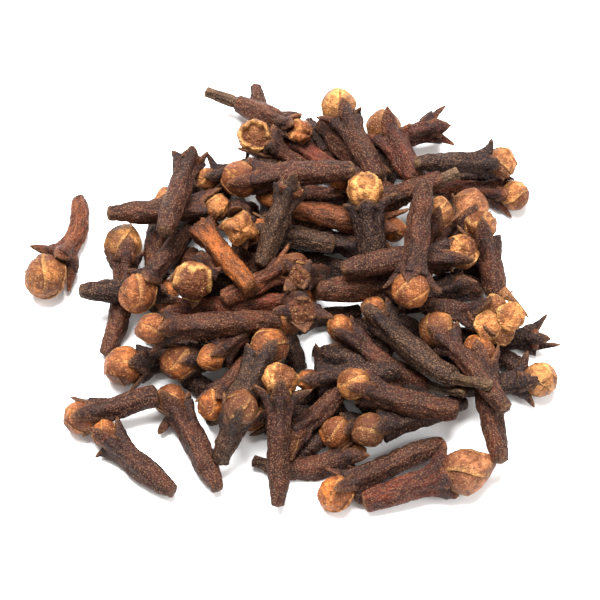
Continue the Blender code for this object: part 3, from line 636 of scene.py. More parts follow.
    # All of it moves the skin outward, less where the stem closes to a point
    rise, grain = swellings
    fade = addNode(tree, "ShaderNodeMapRange", {"Value": thick, "From Min": 0.0, "From Max": 0.7 * mm})
    for part, operation in ((grain, "ADD"), (dent, "SUBTRACT"), (ridge, "ADD"), (square, "ADD"),
                            (fade, "MULTIPLY"), (mm, "MULTIPLY")):
        rise = addNode(tree, "ShaderNodeMath", [rise, part], operation=operation)
    shift = addNode(tree, "ShaderNodeVectorMath", {0: outward, 3: rise}, operation="SCALE")
    for label, value, kind in (("crease", crease, "FLOAT"), ("fibre", fibre, "FLOAT_VECTOR")):
        skin = addNode(tree, "GeometryNodeStoreNamedAttribute",
                       {"Geometry": skin, "Name": label, "Value": value}, data_type=kind)
    skin = addNode(tree, "GeometryNodeSetPosition", {"Geometry": skin, "Offset": shift})
    finishTree(tree, skin, out["Skin"])
    return tree


# The last nodes of each tree: nothing reaches under the floor, smooth shading, real meshes, the finish
def finishTree(tree, shape, finish):
    place = addNode(tree, "GeometryNodeInputPosition")
    parts = addNode(tree, "ShaderNodeSeparateXYZ", [place])
    lifted = addNode(tree, "ShaderNodeMath", [parts.outputs["Z"], 0.03 * mm], operation="MAXIMUM")
    place = addNode(tree, "ShaderNodeCombineXYZ", [parts.outputs["X"], parts.outputs["Y"], lifted])
    shape = addNode(tree, "GeometryNodeSetPosition", {"Geometry": shape, "Position": place})
    shape = addNode(tree, "GeometryNodeSetShadeSmooth", {"Geometry": shape})
    shape = addNode(tree, "GeometryNodeRealizeInstances", {"Geometry": shape})
    shape = addNode(tree, "GeometryNodeSetMaterial", {"Geometry": shape, "Material": finish})
    result = tree.nodes.new("NodeGroupOutput")
    tree.links.new(shape.outputs[0], result.inputs[0])


# A closed skin through rings of points, from one pole to the other, with values on its points
def ringSkin(name, rings, values, poles):
    rings = np.asarray(rings)
    count, sides = rings.shape[:2]
    points = np.concatenate([[poles[0]], rings.reshape(-1, 3), [poles[1]]])
    faces = []
    for j in range(sides):
        following = (j + 1) % sides
        faces.append((0, 1 + j, 1 + following))
        for k in range(count - 1):
            low, high = 1 + k * sides, 1 + (k + 1) * sides
            faces.append((low + j, high + j, high + following, low + following))
        last = 1 + (count - 1) * sides
        faces.append((last + following, last + j, len(points) - 1))
    mesh = bpy.data.meshes.new(name)
    mesh.from_pydata(points.tolist(), [], faces)
    for label, numbers in values.items():
        numbers = np.asarray(numbers, np.float32)
        full = np.concatenate([[numbers[0].mean()], numbers.ravel(), [numbers[-1].mean()]])
        mesh.attributes.new(label, "FLOAT", "POINT").data.foreach_set("value", full.astype(np.float32))
    return mesh


# The buds, in shares of a bud's radius but for the grain of the finished ones, in mm
budSizes = {"rows": 30, "perPetal": 13, "petals": 4, "step": 0.055, "lumps": 0.1, "crumbs": 0.12,
            "seatShare": 0.96, "discShare": 1.12, "grain": {"Grain Width": 0.5, "Grain Depth": 0.16}}

# Every shape that a bud can have. Kinds without settings have their own function
budShapes = [
    ("whole", dict(twist=1.4)),
    ("whole", dict(twist=-1.2, rough=0.07)),
    ("whole", dict(twist=0.8, point=0.12)),
    ("pointed", dict(twist=1.0, point=0.42, rough=0.06)),
    ("cracked", dict(twist=1.2, opening=0.95, depth=0.14, rough=0.1, tilt=0.5, dark=0.6)),
    ("cracked", dict(twist=-1.0, opening=0.65, depth=0.12, rough=0.1, tilt=-0.5, dark=0.6)),
    ("cup", dict(twist=0.6, opening=0.95, depth=0.7, rough=0.08)),
    ("crumbly", dict(twist=0.2, opening=1.5, depth=-0.15, rough=0.1, squash=0.75, square=0.14, dark=0.1)),
    ("flower", {}),
    ("disc", {}),
    ("disc", {}),
    ("crescent", dict(twist=0.5, opening=1.25, depth=0.08, rough=0.09, tilt=0.52, dark=1.1, band=0.4)),
    ("shelled", dict(twist=-0.6, opening=1.2, depth=0.1, rough=0.12, tilt=0.55, dark=0.45, band=0.35)),
]


# A bud of unit radius about its middle, apex up: petals that lap over each other like a pinwheel.
# opening is the polar angle up to which the outer petals are gone, depth how far the inside lies
# under them, tilt how much lower the opening is on one side, band how wide its pale rim is
def budForm(name, seed, twist, point=0.0, opening=0.0, depth=0.0, rough=0.05, squash=1.0, tilt=0.0,
            square=0.0, dark=1.0, band=0.11):
    share = np.linspace(0, 1, budSizes["perPetal"])
    share = 0.5 - 0.5 * np.cos(math.pi * share)
    petal = np.concatenate([share + k for k in range(budSizes["petals"])])
    lap = np.tile(share, budSizes["petals"])
    rings, values = [], {"seam": [], "rim": [], "inner": [], "low": []}
    for angle in (np.arange(budSizes["rows"]) + 0.5) / budSizes["rows"] * math.pi:
        turn = petal * 2 * math.pi / budSizes["petals"] + twist * (1 - angle / math.pi) ** 2 * 2.2
        jag = np.array([noise.noise(Vector((math.cos(a) * 1.7 + seed, math.sin(a) * 1.7, seed * 2)))
                        for a in turn])
        edge = opening * (1 + 0.6 * jag + tilt * np.cos(turn))
        gone, rim = np.zeros_like(turn), np.zeros_like(turn)
        if opening:
            gone = 1 - smooth(edge - 0.1, edge + 0.1, np.full_like(turn, angle))
            rim = np.exp(-(np.clip(angle - edge, 0, None) / band) ** 2) * (1 - gone)
        spots = [Vector((math.sin(angle) * math.cos(a), math.sin(angle) * math.sin(a), math.cos(angle)))
                 for a in turn]
        grain = np.array([noise.fractal(spot * 2.6 + Vector((seed * 5, 0, 0)), 1, 2, 4) for spot in spots])
        broad = np.array([noise.noise(spot * 1.2 + Vector((0, seed * 3, 0))) for spot in spots])
        crumb = np.array([noise.noise((spot + Vector((0, 0, seed))) * 7) for spot in spots])
        ledge = budSizes["step"] * (lap - 0.5) * math.sin(angle) ** 0.5 * (1 - gone)
        radius = 1 + ledge + rough * grain + budSizes["lumps"] * broad + gone * crumb * budSizes["crumbs"]
        radius = radius + square * np.cos(4 * turn)
        flat = radius * math.sin(angle) * (1 - 0.12 * gone)
        height = radius * math.cos(angle) * squash + point * math.cos(angle) ** 5 * (angle < math.pi / 2)
        height = height - gone * depth * np.clip(1 - 0.35 * (angle / max(opening, 0.01)) ** 2, 0, 1)
        rings.append(np.column_stack([flat * np.cos(turn), flat * np.sin(turn), height]))
        lip = np.clip((lap - 0.8) / 0.2, 0, 1) * (1 - gone) * 0.55 * math.sin(angle)
        # seam marks the lowered start of each petal under the next petal's lapping edge, for painted shade
        values["seam"].append(np.clip(1 - lap / 0.12, 0, 1) * (1 - gone) * math.sin(angle) ** 0.3)
        values["rim"].append(np.maximum(rim, lip))
        values["inner"].append(gone * dark)
        # low: the lower side of the bud, towards the calyx, which the finish darkens as painted shade
        values["low"].append(np.full_like(turn, smooth(0.35 * math.pi, 0.75 * math.pi, angle)))
    return ringSkin(name, rings, values, [rings[0].mean(axis=0), rings[-1].mean(axis=0)])


# An opened bud: broad flat petals with pale edges that lap over each other round a short tube
def flowerForm(name, seed):
    petals = [((0.6 * math.cos(a), 0.6 * math.sin(a), high), 0.72, 0.24)
              for a, high in ((0.3, 0.5), (1.9, 0.22), (3.5, 0.36), (5.0, 0.0))]
    petals += [((0.0, 0.0, -0.35), 0.6, 0.9)]
    points, faces, values = [], [], {"seam": [], "rim": []}
    for i, (centre, radius, flat) in enumerate(petals):
        part = budForm(f"{name} part", seed + i, twist=0.4, rough=0.08)
        start = len(points)
        spots = np.array([tuple(v.co) for v in part.vertices])
        points += (spots * radius * np.array([1.0, 1.0, flat]) + np.array(centre)).tolist()
        faces += [[corner + start for corner in face.vertices] for face in part.polygons]
        values["seam"] += [value.value * 0.3 for value in part.attributes["seam"].data]
        values["rim"] += np.clip(1.0 - 1.8 * np.abs(spots[:, 2]), 0, 1).tolist()
        bpy.data.meshes.remove(part)
    mesh = bpy.data.meshes.new(name)
    mesh.from_pydata(points, [], faces)
    for label in ("seam", "rim", "inner", "low"):
        numbers = values.get(label, [0.0] * len(points))
        mesh.attributes.new(label, "FLOAT", "POINT").data.foreach_set("value", numbers)
    return mesh


# The broken top of a calyx whose bud is gone: a low crumbly dome with a square raised rim
def discForm(name, seed):
    rings, rims, inner = [], [], []
    rows, sides = 12, 32
    turns = np.arange(sides) * 2 * math.pi / sides
    for k in range(rows):
        share = (k + 0.5) / rows
        flat = math.sin(share * math.pi / 2 * 1.2) * (1 + 0.09 * np.cos(4 * turns))
        crumb = np.array([noise.noise(Vector((out * math.cos(a), out * math.sin(a), seed)) * 4.5)
                          for out, a in zip(flat, turns)])
        height = 0.34 * math.cos(share * math.pi / 2 * 1.5) + 0.16 * math.exp(-((share - 0.62) / 0.16) ** 2)
        height = height + 0.22 * crumb
        rings.append(np.column_stack([flat * np.cos(turns), flat * np.sin(turns), height]))
        rims.append(np.clip(crumb * 0.3, 0, 1))
        inner.append(np.full(sides, 0.95 - share * 0.4))
    bottom = np.array([0.0, 0.0, -0.5])
    rings.append(rings[-1] * 0.6 + bottom)
    rims.append(rims[-1] * 0)
    inner.append(inner[-1])
    none = np.zeros((rows + 1, sides))
    values = {"seam": none, "rim": rims, "inner": inner, "low": none}
    return ringSkin(name, rings, values, [rings[0].mean(axis=0), bottom])


def makeBudForms():
    makers = {"flower": flowerForm, "disc": discForm}
    return formCollection("buds", [makers.get(kind, budForm)("bud", i + 1.0, **settings)
                                   for i, (kind, settings) in enumerate(budShapes)])


# The sepals. Lengths are in mm, shares are of the calyx's radius or of the common length
sepalSizes = {
    "sides": 11, "rows": (-0.3, -0.05, 0.2, 0.42, 0.62, 0.79, 0.91, 0.98), "reach": 3.5, "thick": 0.95,
    "seenReach": (1.5, 3.8), "mostHeight": 13.5, "width": 0.74, "seenWidth": 0.62 * 0.74, "sunk": 0.35,
    "brokenShare": 0.75, "backShare": 0.6, "spread": (0.3, 0.75), "brokenSpread": (0.1, 0.55),
    "flakeShare": 0.28, "flakeThick": 0.4, "flakeTint": "#7a5030",
    "grain": {"Grain Width": 0.45, "Grain Depth": 0.14},
}

sepalShapes = [dict(curl=0.15), dict(curl=0.4, lean=0.2), dict(curl=-0.35, blunt=2.0),
               dict(curl=-0.6, blunt=1.2), dict(curl=-0.1, blunt=1.3, lean=-0.25)]


# A sepal of unit length and half width, root at the origin and tip up: a thick dry pointed tongue
# that curls outward (+Y) and is hollow on the side of the bud
def sepalForm(name, seed, curl, blunt=1.7, lean=0.0):
    rings, rims = [], []
    turns = np.arange(sepalSizes["sides"]) * 2 * math.pi / sepalSizes["sides"]
    for t in sepalSizes["rows"]:
        width = (1 - 0.8 * max(t, 0) ** blunt) * (0.9 + 0.1 * math.sin(6 * t + seed))
        thick = (1 - 0.5 * max(t, 0)) * (1 + 2 * min(t, 0))
        tip = math.sqrt(max(0.0, 1 - (max(0.0, t - 0.7) / 0.3) ** 2)) * 0.85 + 0.15
        x = width * np.cos(turns) * tip
        y = thick * np.sin(turns) * 0.5 * tip + curl * t * t - 0.4 * (x * x) * (1 - 0.5 * t)
        bump = np.array([noise.noise(Vector((a * 2.2, b * 2.2, t * 3 + seed * 4))) for a, b in zip(x, y)])
        rings.append(np.column_stack([x + lean * t * t + 0.1 * bump, y + 0.14 * bump, t + 0.05 * bump]))
        inside = 0.3 * np.clip(-np.sin(turns), 0, 1)
        rims.append(np.clip(np.abs(np.cos(turns)) ** 4 * 0.5 + inside + 0.5 * smooth(0.6, 1.0, t), 0, 1))
    ends = [rings[0].mean(axis=0), rings[-1].mean(axis=0) + np.array([0, 0, 0.03])]
    return ringSkin(name, rings, {"rim": rims}, ends)


def makeSepalForms():
    return formCollection("sepals", [sepalForm("sepal", i + 1.0, **settings)
                                     for i, settings in enumerate(sepalShapes)])


def formCollection(name, meshes):
    group = bpy.data.collections.new(name)
    for i, mesh in enumerate(meshes):
        group.objects.link(bpy.data.objects.new(f"{name} {i:02d}", mesh))
    return group


def clear(name):  # removes a collection of forms once they are placed
    for thing in bpy.data.collections[name].objects[:]:
        bpy.data.objects.remove(thing)
    bpy.data.collections.remove(bpy.data.collections[name])


# The tree that sets one form of a collection on each guide point, turned and sized as its point says
def makePlacingTree(name, grainSizes):
    tree, given = startTree(name, {**grainSizes, "Forms": [], "Skin": ""})
    out = given.outputs
    forms = addNode(tree, "GeometryNodeCollectionInfo",
                    {"Collection": out["Forms"], "Separate Children": True, "Reset Children": True})
    pick, turn, size = [
        addNode(tree, "GeometryNodeInputNamedAttribute", {"Name": label}, data_type=attributeKinds[label])
        for label in ("pick", "turn", "size")]
    shape = addNode(tree, "GeometryNodeInstanceOnPoints",
                    {"Points": out["Geometry"], "Instance": forms, "Pick Instance": True,
                     "Instance Index": pick, "Rotation": turn, "Scale": size})
    shape = addNode(tree, "GeometryNodeRealizeInstances", {"Geometry": shape})
    place = addNode(tree, "GeometryNodeInputPosition")
    spot = addNode(tree, "ShaderNodeVectorMath", {0: place, 3: 1000.0}, operation="SCALE")
    scale = addNode(tree, "ShaderNodeMath", [1.0, out["Grain Width"]], operation="DIVIDE")
    grain = addNode(tree, "ShaderNodeTexNoise", {"Vector": spot, "Scale": scale, "Detail": 2.0})
    grain = addNode(tree, "ShaderNodeMath", [grain.outputs[0], 0.5], operation="SUBTRACT")
    for factor in (out["Grain Depth"], mm):
        grain = addNode(tree, "ShaderNodeMath", [grain, factor], operation="MULTIPLY")
    normal = addNode(tree, "GeometryNodeInputNormal")
    shift = addNode(tree, "ShaderNodeVectorMath", {0: normal, 3: grain}, operation="SCALE")
    shape = addNode(tree, "GeometryNodeSetPosition", {"Geometry": shape, "Offset": shift})
    finishTree(tree, shape, out["Skin"])
    return tree


def startFinish(name, labels):  # a new material, the place on the piece in metres, and its painted values
    material = bpy.data.materials.new(name)
    material.use_nodes = True
    tree = material.node_tree
    place = addNode(tree, "ShaderNodeTexCoord").outputs["Object"]
    tint = addNode(tree, "ShaderNodeAttribute", attribute_name="tint").outputs["Color"]
    painted = [addNode(tree, "ShaderNodeAttribute", attribute_name=label).outputs["Fac"] for label in labels]
    return material, place, tint, painted


def layColours(tree, colour, layers):  # each layer has a mask, its greatest share and its colour
    for mask, (share, code) in layers:
        mask = addNode(tree, "ShaderNodeMath", [mask, share], operation="MULTIPLY")
        colour = addNode(tree, "ShaderNodeMix", {0: mask, 6: colour, 7: toLinear(code)}, data_type="RGBA")
    return colour


def endFinish(material, colour, height, rough, finish):
    tree = material.node_tree
    shader = tree.nodes["Principled BSDF"]
    bump = addNode(tree, "ShaderNodeBump",
                   {"Strength": 1.0, "Distance": finish["bump"] * mm, "Height": height})
    tree.links.new(colour.outputs[2], shader.inputs["Base Color"])
    tree.links.new(bump.outputs[0], shader.inputs["Normal"])
    shader.inputs["Roughness"].default_value = rough
    shader.inputs["Specular IOR Level"].default_value = finish["specular"]
    return material


# The finish of stems and sepals: widths and the bump are in mm, the rest are shares with their colours
skinFinish = {
    "stemRough": 0.6, "sepalRough": 0.62, "specular": 0.14, "bump": 0.28,
    "blotchWidth": 2.2, "streakWidth": 0.4, "grainWidth": 0.17, "granuleWidth": 0.24, "patchWidth": 0.6,
    # crease is painted shade: it darkens the wrinkle creases that are dented into the stem
    "blotch": (0.55, "#1f100c"), "charred": (0.75, "#171116"), "crease": (0.5, "#170c0a"),
    # groove and pit are painted shade in the low places of the bump's streaks and fine noise
    "edge": (0.6, "#825634"), "grooveShade": (0.6, "#120806"), "glintSpeck": (0.4, "#b58a6a"), "pitShade": (0.75, "#0d0505"),
}


# Dried flower tissue, dull with an oily trace. Granules of oil glands are raised, with painted highlight
# specks for their glints; creases, grooves and pits get painted shade, bare edges are paler. The calyx is
# nearly black
def makeSkin(name, rough, fibrous=True):
    material, place, tint, (flare, crease, rim) = startFinish(name, ("flare", "crease", "rim"))
    tree = material.node_tree
    if fibrous:
        along = addNode(tree, "ShaderNodeAttribute", attribute_name="fibre").outputs["Vector"]
    else:
        along = addNode(tree, "ShaderNodeVectorMath", {0: place, 3: 1000.0}, operation="SCALE")
    blotch, fine, patch = [
        addNode(tree, "ShaderNodeTexNoise",
                {"Vector": place, "Scale": 1000 / skinFinish[width], "Detail": detail}).outputs[0]
        for width, detail in (("blotchWidth", 4.0), ("grainWidth", 2.0), ("patchWidth", 2.0))]
    streak = addNode(tree, "ShaderNodeTexNoise",
                     {"Vector": along, "Scale": 1 / skinFinish["streakWidth"], "Detail": 3.0,
                      "Roughness": 0.6}).outputs[0]
    cell = addNode(tree, "ShaderNodeTexVoronoi",
                   {"Vector": place, "Scale": 1000 / skinFinish["granuleWidth"]}).outputs["Distance"]
    # Painted shade masks: grooves and pits are the low places of the same noises that raise the bump
    shade, grooveShade, granule, pitShade = [
        addNode(tree, "ShaderNodeMapRange",
                {"Value": source, "From Min": least, "From Max": most, "To Min": 1.0, "To Max": 0.0})
        for source, least, most in ((blotch, 0.36, 0.6), (streak, 0.36, 0.52), (cell, 0.08, 0.55),
                                    (fine, 0.34, 0.5))]

    # Granules are sparse in some patches, in the grooves and on the calyx
    patch = addNode(tree, "ShaderNodeMapRange", {"Value": patch, "From Min": 0.2, "From Max": 0.56})
    level = addNode(tree, "ShaderNodeMath", {0: grooveShade, 1: -0.7, 2: 1.0}, operation="MULTIPLY_ADD")
    bare = addNode(tree, "ShaderNodeMath", {0: flare, 1: -0.55, 2: 1.0}, operation="MULTIPLY_ADD")
    for limit in (patch, level):
        granule = addNode(tree, "ShaderNodeMath", [granule, limit], operation="MULTIPLY")
    # Painted highlight: the pale specks stand for the glints of the raised granules
    glintSpeck = addNode(tree, "ShaderNodeMath", [granule, bare], operation="MULTIPLY")

    masks = {"blotch": shade, "charred": flare, "crease": crease, "edge": rim, "grooveShade": grooveShade,
             "glintSpeck": glintSpeck, "pitShade": pitShade}
    colour = layColours(tree, tint, [(mask, skinFinish[label]) for label, mask in masks.items()])
    height = addNode(tree, "ShaderNodeMix", {0: 0.45, 2: streak, 3: fine}, data_type="FLOAT")
    raised = addNode(tree, "ShaderNodeMath", [granule, 0.35], operation="MULTIPLY")
    height = addNode(tree, "ShaderNodeMath", [height, raised], operation="ADD")
    return endFinish(material, colour, height, rough, skinFinish)


# The finish of the buds, in the same terms
budFinish = {
    "rough": 0.54, "specular": 0.2, "bump": 0.25,
    "blotchWidth": 2.9, "patchWidth": 0.6, "grainWidth": 0.2, "granuleWidth": 0.36,
    # low is painted shade: the lower side of the bud, towards the calyx, made darker
    "blotch": (0.82, "#401b0f"), "low": (0.6, "#3d1d13"), "inside": (0.85, "#4a220f"),
    # seam is painted shade under the lapping petal edges
    "edge": (0.7, "#c99a58"), "seam": (0.45, "#331709"), "dusky": (0.65, "#512811"),
    # speck is a painted highlight, the glint of the raised granules
    "glintSpeck": (0.42, "#d8a76f"), "pitShade": (0.6, "#3a180a"),
}


# Papery dried petals: gold and tan with rubbed rusty places, pale at torn rims. Painted shade darkens the
# lower bud towards the calyx, the petals' starts under lapping edges and the pits; granules get painted
# highlight specks
def makeBudSkin(name):
    material, place, tint, (seam, inner, rim, low) = startFinish(name, ("seam", "inner", "rim", "low"))
    tree = material.node_tree
    blotch, patch, fine = [
        addNode(tree, "ShaderNodeTexNoise",
                {"Vector": place, "Scale": 1000 / budFinish[width], "Detail": detail}).outputs[0]
        for width, detail in (("blotchWidth", 4.0), ("patchWidth", 3.0), ("grainWidth", 2.0))]
    cell = addNode(tree, "ShaderNodeTexVoronoi",
                   {"Vector": place, "Scale": 1000 / budFinish["granuleWidth"]}).outputs["Distance"]
    # pit is painted shade in the low places of the fine noise that also raises the bump
    rubbed, dusky, granule, pitShade = [
        addNode(tree, "ShaderNodeMapRange",
                {"Value": source, "From Min": least, "From Max": most, "To Min": 1.0, "To Max": 0.0})
        for source, least, most in ((blotch, 0.42, 0.6), (patch, 0.38, 0.54), (cell, 0.1, 0.42),
                                    (fine, 0.32, 0.48))]
    where = addNode(tree, "ShaderNodeMapRange", {"Value": patch, "From Min": 0.42, "From Max": 0.58})
    granule = addNode(tree, "ShaderNodeMath", [granule, where], operation="MULTIPLY")
    masks = {"blotch": rubbed, "low": low, "inside": inner, "edge": rim, "seam": seam, "dusky": dusky,
             "glintSpeck": granule, "pitShade": pitShade}
    colour = layColours(tree, tint, [(mask, budFinish[label]) for label, mask in masks.items()])
    raised = addNode(tree, "ShaderNodeMath", [granule, 0.4], operation="MULTIPLY")
    height = addNode(tree, "ShaderNodeMath", [fine, raised], operation="ADD")
    return endFinish(material, colour, height, budFinish["rough"], budFinish)


attributeKinds = {"girth": "FLOAT", "seed": "FLOAT", "flare": "FLOAT", "side": "FLOAT_VECTOR",
                  "tint": "FLOAT_COLOR", "pick": "INT", "turn": "QUATERNION", "size": "FLOAT_VECTOR"}


class Parts:  # what the guides of one piece hold: points, edges and the values on the points
    def __init__(self):
        self.points, self.edges, self.values = [], [], {}

    def add(self, points, chain=False, **values):
        start = len(self.points)
        self.points += list(points)
        if chain:
            self.edges += [(start + i, start + i + 1) for i in range(len(points) - 1)]
        for label, numbers in values.items():
            self.values.setdefault(label, []).extend(numbers)

    def guide(self, name):
        values = {label: (attributeKinds[label], numbers) for label, numbers in self.values.items()}
        return guideMesh(name, self.points, self.edges, values)


def unit(vector):
    return vector / np.linalg.norm(vector)


def turnTo(ahead, outward):  # quaternion whose Z points ahead and whose Y points outward
    z = Vector(ahead).normalized()
    x = Vector(outward).cross(z).normalized()
    y = z.cross(x)
    return list(Matrix((x, y, z)).transposed().to_quaternion())


def mixed(first, second, share):
    a, b = np.array(toLinear(first)), np.array(toLinear(second))
    return a * (1 - share) + b * share


def varied(colour, chance, least, most):  # the same colour a little darker or lighter
    colour = colour * chance.uniform(least, most)
    colour[3] = 1.0
    return colour


# Guides of one clove: its stem's axis, its bud and its sepals
def layClove(item, foot, bud, seed, chance, stems, buds, sepals):
    foot = foot + across(*item.get("footBy", (0, 0)))
    bud = bud + across(*item.get("budBy", (0, 0)))
    stations, girths, crown, collar, length = stemShape(item, foot, bud, chance)
    points = np.array([axisPoint(item, foot, bud, length, d, seed) for d in stations])
    ahead = unit(points[-1] - points[-5]) if "via" in item else (bud - foot) / length
    middle = axisPoint(item, foot, bud, length, crown, seed)
    side = unit(np.cross(ahead, toward))
    other = np.cross(ahead, side)
    roll = chance.uniform(-0.3, 0.3)
    tips = [nearestOnSight(pixel, middle) for pixel in item.get("lobes", ())]
    if tips:
        arm = tips[0] - middle
        roll = math.atan2(arm @ other, arm @ side)

    def around(angle):  # the direction out of the axis at an angle from the first ridge
        return side * math.cos(roll + angle) + other * math.sin(roll + angle)

    stem = item["stem"] * mm
    skinTint = varied(mixed(*skins[item["skin"]], chance.random()), chance, 0.85, 1.15)
    tint = skinTint
    flare = np.exp(-np.abs(stations - crown) / (stemSizes["flareReach"] * stem))
    if item.get("fixed"):
        flare = stations * 0
    if "stalk" in item:
        stalk = np.clip(-stations / (0.2 * stem) - 0.5, 0, 1)[:, None]
        tint = tint * (1 - stalk) + np.array(toLinear(item.get("stalkTint", stemSizes["stalkTint"]))) * stalk
    scar = np.clip((stations[0] + 0.3 * stem - stations) / (0.2 * stem), 0, 1)[:, None]
    scar = scar * chance.uniform(0.0, 0.6)
    count = len(points)
    stems.add(points, chain=True, girth=girths, seed=[seed] * count, flare=flare, side=[around(0)] * count,
              tint=tint * (1 - scar) + np.array(toLinear(stemSizes["scarTint"])) * scar)
    if item.get("fixed"):
        return

    for pixels in item.get("flakes", ()):
        root, tip = [nearestOnSight(pixel, bud) for pixel in pixels]
        reach = np.linalg.norm(tip - root)
        width = item.get("flakeShare", sepalSizes["flakeShare"]) * reach
        size = (width, sepalSizes["flakeThick"] * mm, reach)
        sepals.add([root], turn=[turnTo(tip - root, toward)], size=[size], flare=[0.0], pick=[3],
                   tint=[toLinear(sepalSizes["flakeTint"])])
    layBud(item, bud if item["ball"] else middle, ahead, around, chance, buds)
    laySepals(item, middle, ahead, around, collar, tips, skinTint, chance, sepals)


def layBud(item, place, ahead, around, chance, buds):
    if item["ball"]:
        form, radius = item.get("form", "whole"), item["ball"] * mm * budSizes["seatShare"]
        tint = np.array(toLinear(tops[item["top"]]))
    else:
        form, radius = "disc", item["stem"] * mm * budSizes["discShare"]
        tint = mixed("#2f190f", "#4c2d1b", chance.random())
    tint = varied(tint, chance, 0.9, 1.08)
    gaze = item.get("gaze", 0.0)
    apex = ahead * (1 - gaze) + toward * gaze
    facing = np.cross(across(*item["shell"]), apex) if "shell" in item else around(1.1)
    width = radius * chance.uniform(0.97, 1.02)
    depth = width * chance.uniform(0.93, 1.0)
    shapes = [i for i, (kind, _) in enumerate(budShapes) if kind == form]
    buds.add([place], turn=[turnTo(apex, facing)], size=[(width, depth, radius)], tint=[tint],
             pick=[chance.choice(shapes)])


# Four sepals round the calyx. One whose tip shows in the photo reaches for it, and is turned to be seen
def laySepals(item, middle, ahead, around, collar, tips, skinTint, chance, sepals):
    for k in range(4):
        outward = around(k * math.pi / 2)
        thick = sepalSizes["thick"] * mm * chance.uniform(0.85, 1.15)
        root = middle + outward * (collar - 0.5 * thick) - ahead * sepalSizes["sunk"] * mm
        spread = chance.uniform(*sepalSizes["spread" if item["ball"] else "brokenSpread"])
        way = ahead * math.cos(spread) + outward * math.sin(spread)
        reach = chance.uniform(0.75, 1.05) * sepalSizes["reach"] * mm * item.get("reach", 1.0)
        facing, share = outward, sepalSizes["width"]
        if not item["ball"]:
            reach *= sepalSizes["brokenShare"]
        if outward @ toward > 0.6:
            reach *= item.get("front", 1.0)
        if outward @ toward < -0.6:
            reach *= sepalSizes["backShare"]
        for tip in tips:
            offset = tip - middle
            offset = offset - ahead * (offset @ ahead)
            if offset @ outward > 0.75 * np.linalg.norm(offset):
                way, reach = unit(tip - root), np.linalg.norm(tip - root)
                reach = np.clip(reach, *[limit * mm for limit in sepalSizes["seenReach"]])
                facing, share = outward + 0.9 * toward, sepalSizes["seenWidth"]
        width = share * collar * chance.uniform(0.85, 1.1)
        if way[2] > 0.1:
            reach = min(reach, (sepalSizes["mostHeight"] * mm - root[2]) / way[2])
        tint = varied(skinTint, chance, 0.9, 1.25)
        sepals.add([root], turn=[turnTo(way, facing)], size=[(width, thick, reach)], tint=[tint],
                   flare=[chance.uniform(0.2, 0.8)], pick=[chance.randrange(len(sepalShapes))])


def dress(piece, node):
    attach(piece, "root")
    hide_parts(node)


def makeCloves():
    items = coreCloves + heapCloves
    heap = Heap(items)
    heap.settle()
    heap.gather()
    print("heap settled,", heap.count, "cloves")

    groups = {"black": ("black",), "dark": ("dark",), "brown": ("brown", "grey"),
              "red": ("red", "rusty", "orange")}
    stems = {kind: Parts() for kind in groups}
    tanBuds, rustBuds, sepals = Parts(), Parts(), Parts()
    strayStem, strayBud, straySepals = Parts(), Parts(), Parts()
    for i, item in enumerate(items):
        kind = next(kind for kind, found in groups.items() if item["skin"] in found)
        buds = rustBuds if item["top"] in ("rust", "orange") or not item["ball"] else tanBuds
        layClove(item, heap.feet[i], heap.buds[i], float(i), random.Random(100 + i), stems[kind], buds,
                 sepals)
    # The deep cloves all get the black skin, partly as painted shade in the heap's gaps
    for i, (near, far) in enumerate(deepCloves):
        foot, bud = atHeight(far, settling["lumpHeight"]), atHeight(near, settling["lumpHeight"])
        layClove(clove(near, far, 0, 1.3, "black", fixed=True), foot, bud, 120.0 + i, random.Random(300 + i),
                 stems["black"], tanBuds, sepals)
    foot = atHeight(strayClove["foot"], strayClove["stem"] * mm)
    bud = atHeight(strayClove["bud"], strayClove["ball"] * mm)
    layClove(strayClove, foot, bud, 99.0, random.Random(7), strayStem, strayBud, straySepals)
    print("guides laid")

    stemTree = makeStemTree()
    budTree = makePlacingTree("place buds", budSizes["grain"])
    sepalTree = makePlacingTree("place sepals", sepalSizes["grain"])
    stemSkin = makeSkin("dried flower tube, granular", skinFinish["stemRough"])
    sepalSkin = makeSkin("dried sepal, paler edges", skinFinish["sepalRough"], fibrous=False)
    stemInput = {**stemInputs, "Skin": stemSkin}
    budInput = {**budSizes["grain"], "Forms": makeBudForms(), "Skin": makeBudSkin("papery petals")}
    sepalInput = {**sepalSizes["grain"], "Forms": makeSepalForms(), "Skin": sepalSkin}
    print("trees, forms and finishes made")

    jobs = [(f"{kind}_stems", stems[kind], stemTree, stemInput, "clove_heap") for kind in groups]
    jobs += [("tan_buds", tanBuds, budTree, budInput, "clove_heap"),
             ("rust_buds", rustBuds, budTree, budInput, "clove_heap"),
             ("sepals", sepals, sepalTree, sepalInput, "clove_heap"),
             ("stray_stem", strayStem, stemTree, stemInput, "stray_clove"),
             ("stray_bud", strayBud, budTree, budInput, "stray_clove"),
             ("stray_sepals", straySepals, sepalTree, sepalInput, "stray_clove")]
    for name, parts, tree, inputs, node in jobs:
        dress(grow(name, parts.guide(name + " guide"), tree, inputs), node)
    clear("buds")
    clear("sepals")


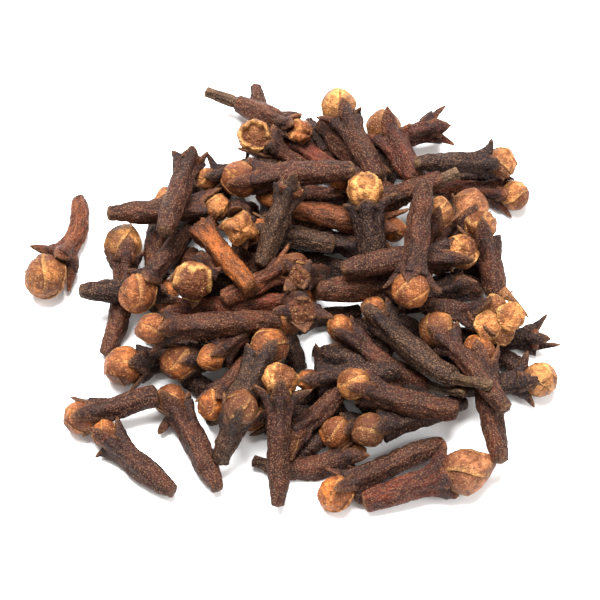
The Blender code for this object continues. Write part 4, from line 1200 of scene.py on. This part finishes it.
def makeFloor():
    mesh = bpy.data.meshes.new("floor")
    half = 3.0
    corners = [(-half, -half, 0), (half, -half, 0), (half, half, 0), (-half, half, 0)]
    mesh.from_pydata(corners, [], [(0, 1, 2, 3)])
    material = bpy.data.materials.new("white paper")  # an even matt white sheet
    material.use_nodes = True
    shader = material.node_tree.nodes["Principled BSDF"]
    shader.inputs["Base Color"].default_value = toLinear("#fcfcfd")
    shader.inputs["Roughness"].default_value = 0.9
    shader.inputs["Specular IOR Level"].default_value = 0.1
    mesh.materials.append(material)
    floor = bpy.data.objects.new("floor", mesh)
    bpy.context.scene.collection.objects.link(floor)


# A white dome that is dimmer as a light than it looks, and two square lamps that face the heap.
# Places and sizes are in metres, powers in watts
studio = {"dome": "#fffaf4", "glow": 0.62, "seenGlow": 1.1,
          "lamps": {"key lamp": ((-0.12, 0.35, 0.9), 0.6, 41.0), "fill lamp": ((0.6, -0.3, 0.7), 0.5, 5.0)}}


def makeStudio():
    world = bpy.data.worlds.new("white studio")
    world.use_nodes = True
    tree = world.node_tree
    tree.nodes["Background"].inputs["Color"].default_value = toLinear(studio["dome"])
    seen = addNode(tree, "ShaderNodeLightPath").outputs["Is Camera Ray"]
    strength = addNode(tree, "ShaderNodeMapRange",
                       {"Value": seen, "To Min": studio["glow"], "To Max": studio["seenGlow"]})
    tree.links.new(strength.outputs[0], tree.nodes["Background"].inputs["Strength"])
    bpy.context.scene.world = world
    for name, (place, size, power) in studio["lamps"].items():
        data = bpy.data.lights.new(name, "AREA")
        data.size, data.energy = size, power
        lamp = bpy.data.objects.new(name, data)
        lamp.location = place
        lamp.rotation_euler = (-Vector(place)).to_track_quat("-Z", "Y").to_euler()
        bpy.context.scene.collection.objects.link(lamp)
    bpy.context.scene.view_settings.view_transform = "Standard"


def makeCamera():
    data = bpy.data.cameras.new("camera")
    data.angle = 2 * math.atan(sight["centre"][0] / focalPixels)
    data.clip_start, data.clip_end = 0.01, 20
    camera = bpy.data.objects.new("camera", data)
    camera.location = eye
    camera.rotation_euler = Vector(-toward).to_track_quat("-Z", "Y").to_euler()
    bpy.context.scene.collection.objects.link(camera)
    bpy.context.scene.camera = camera


makeCamera()
makeFloor()
makeStudio()
print("studio ready")
makeCloves()
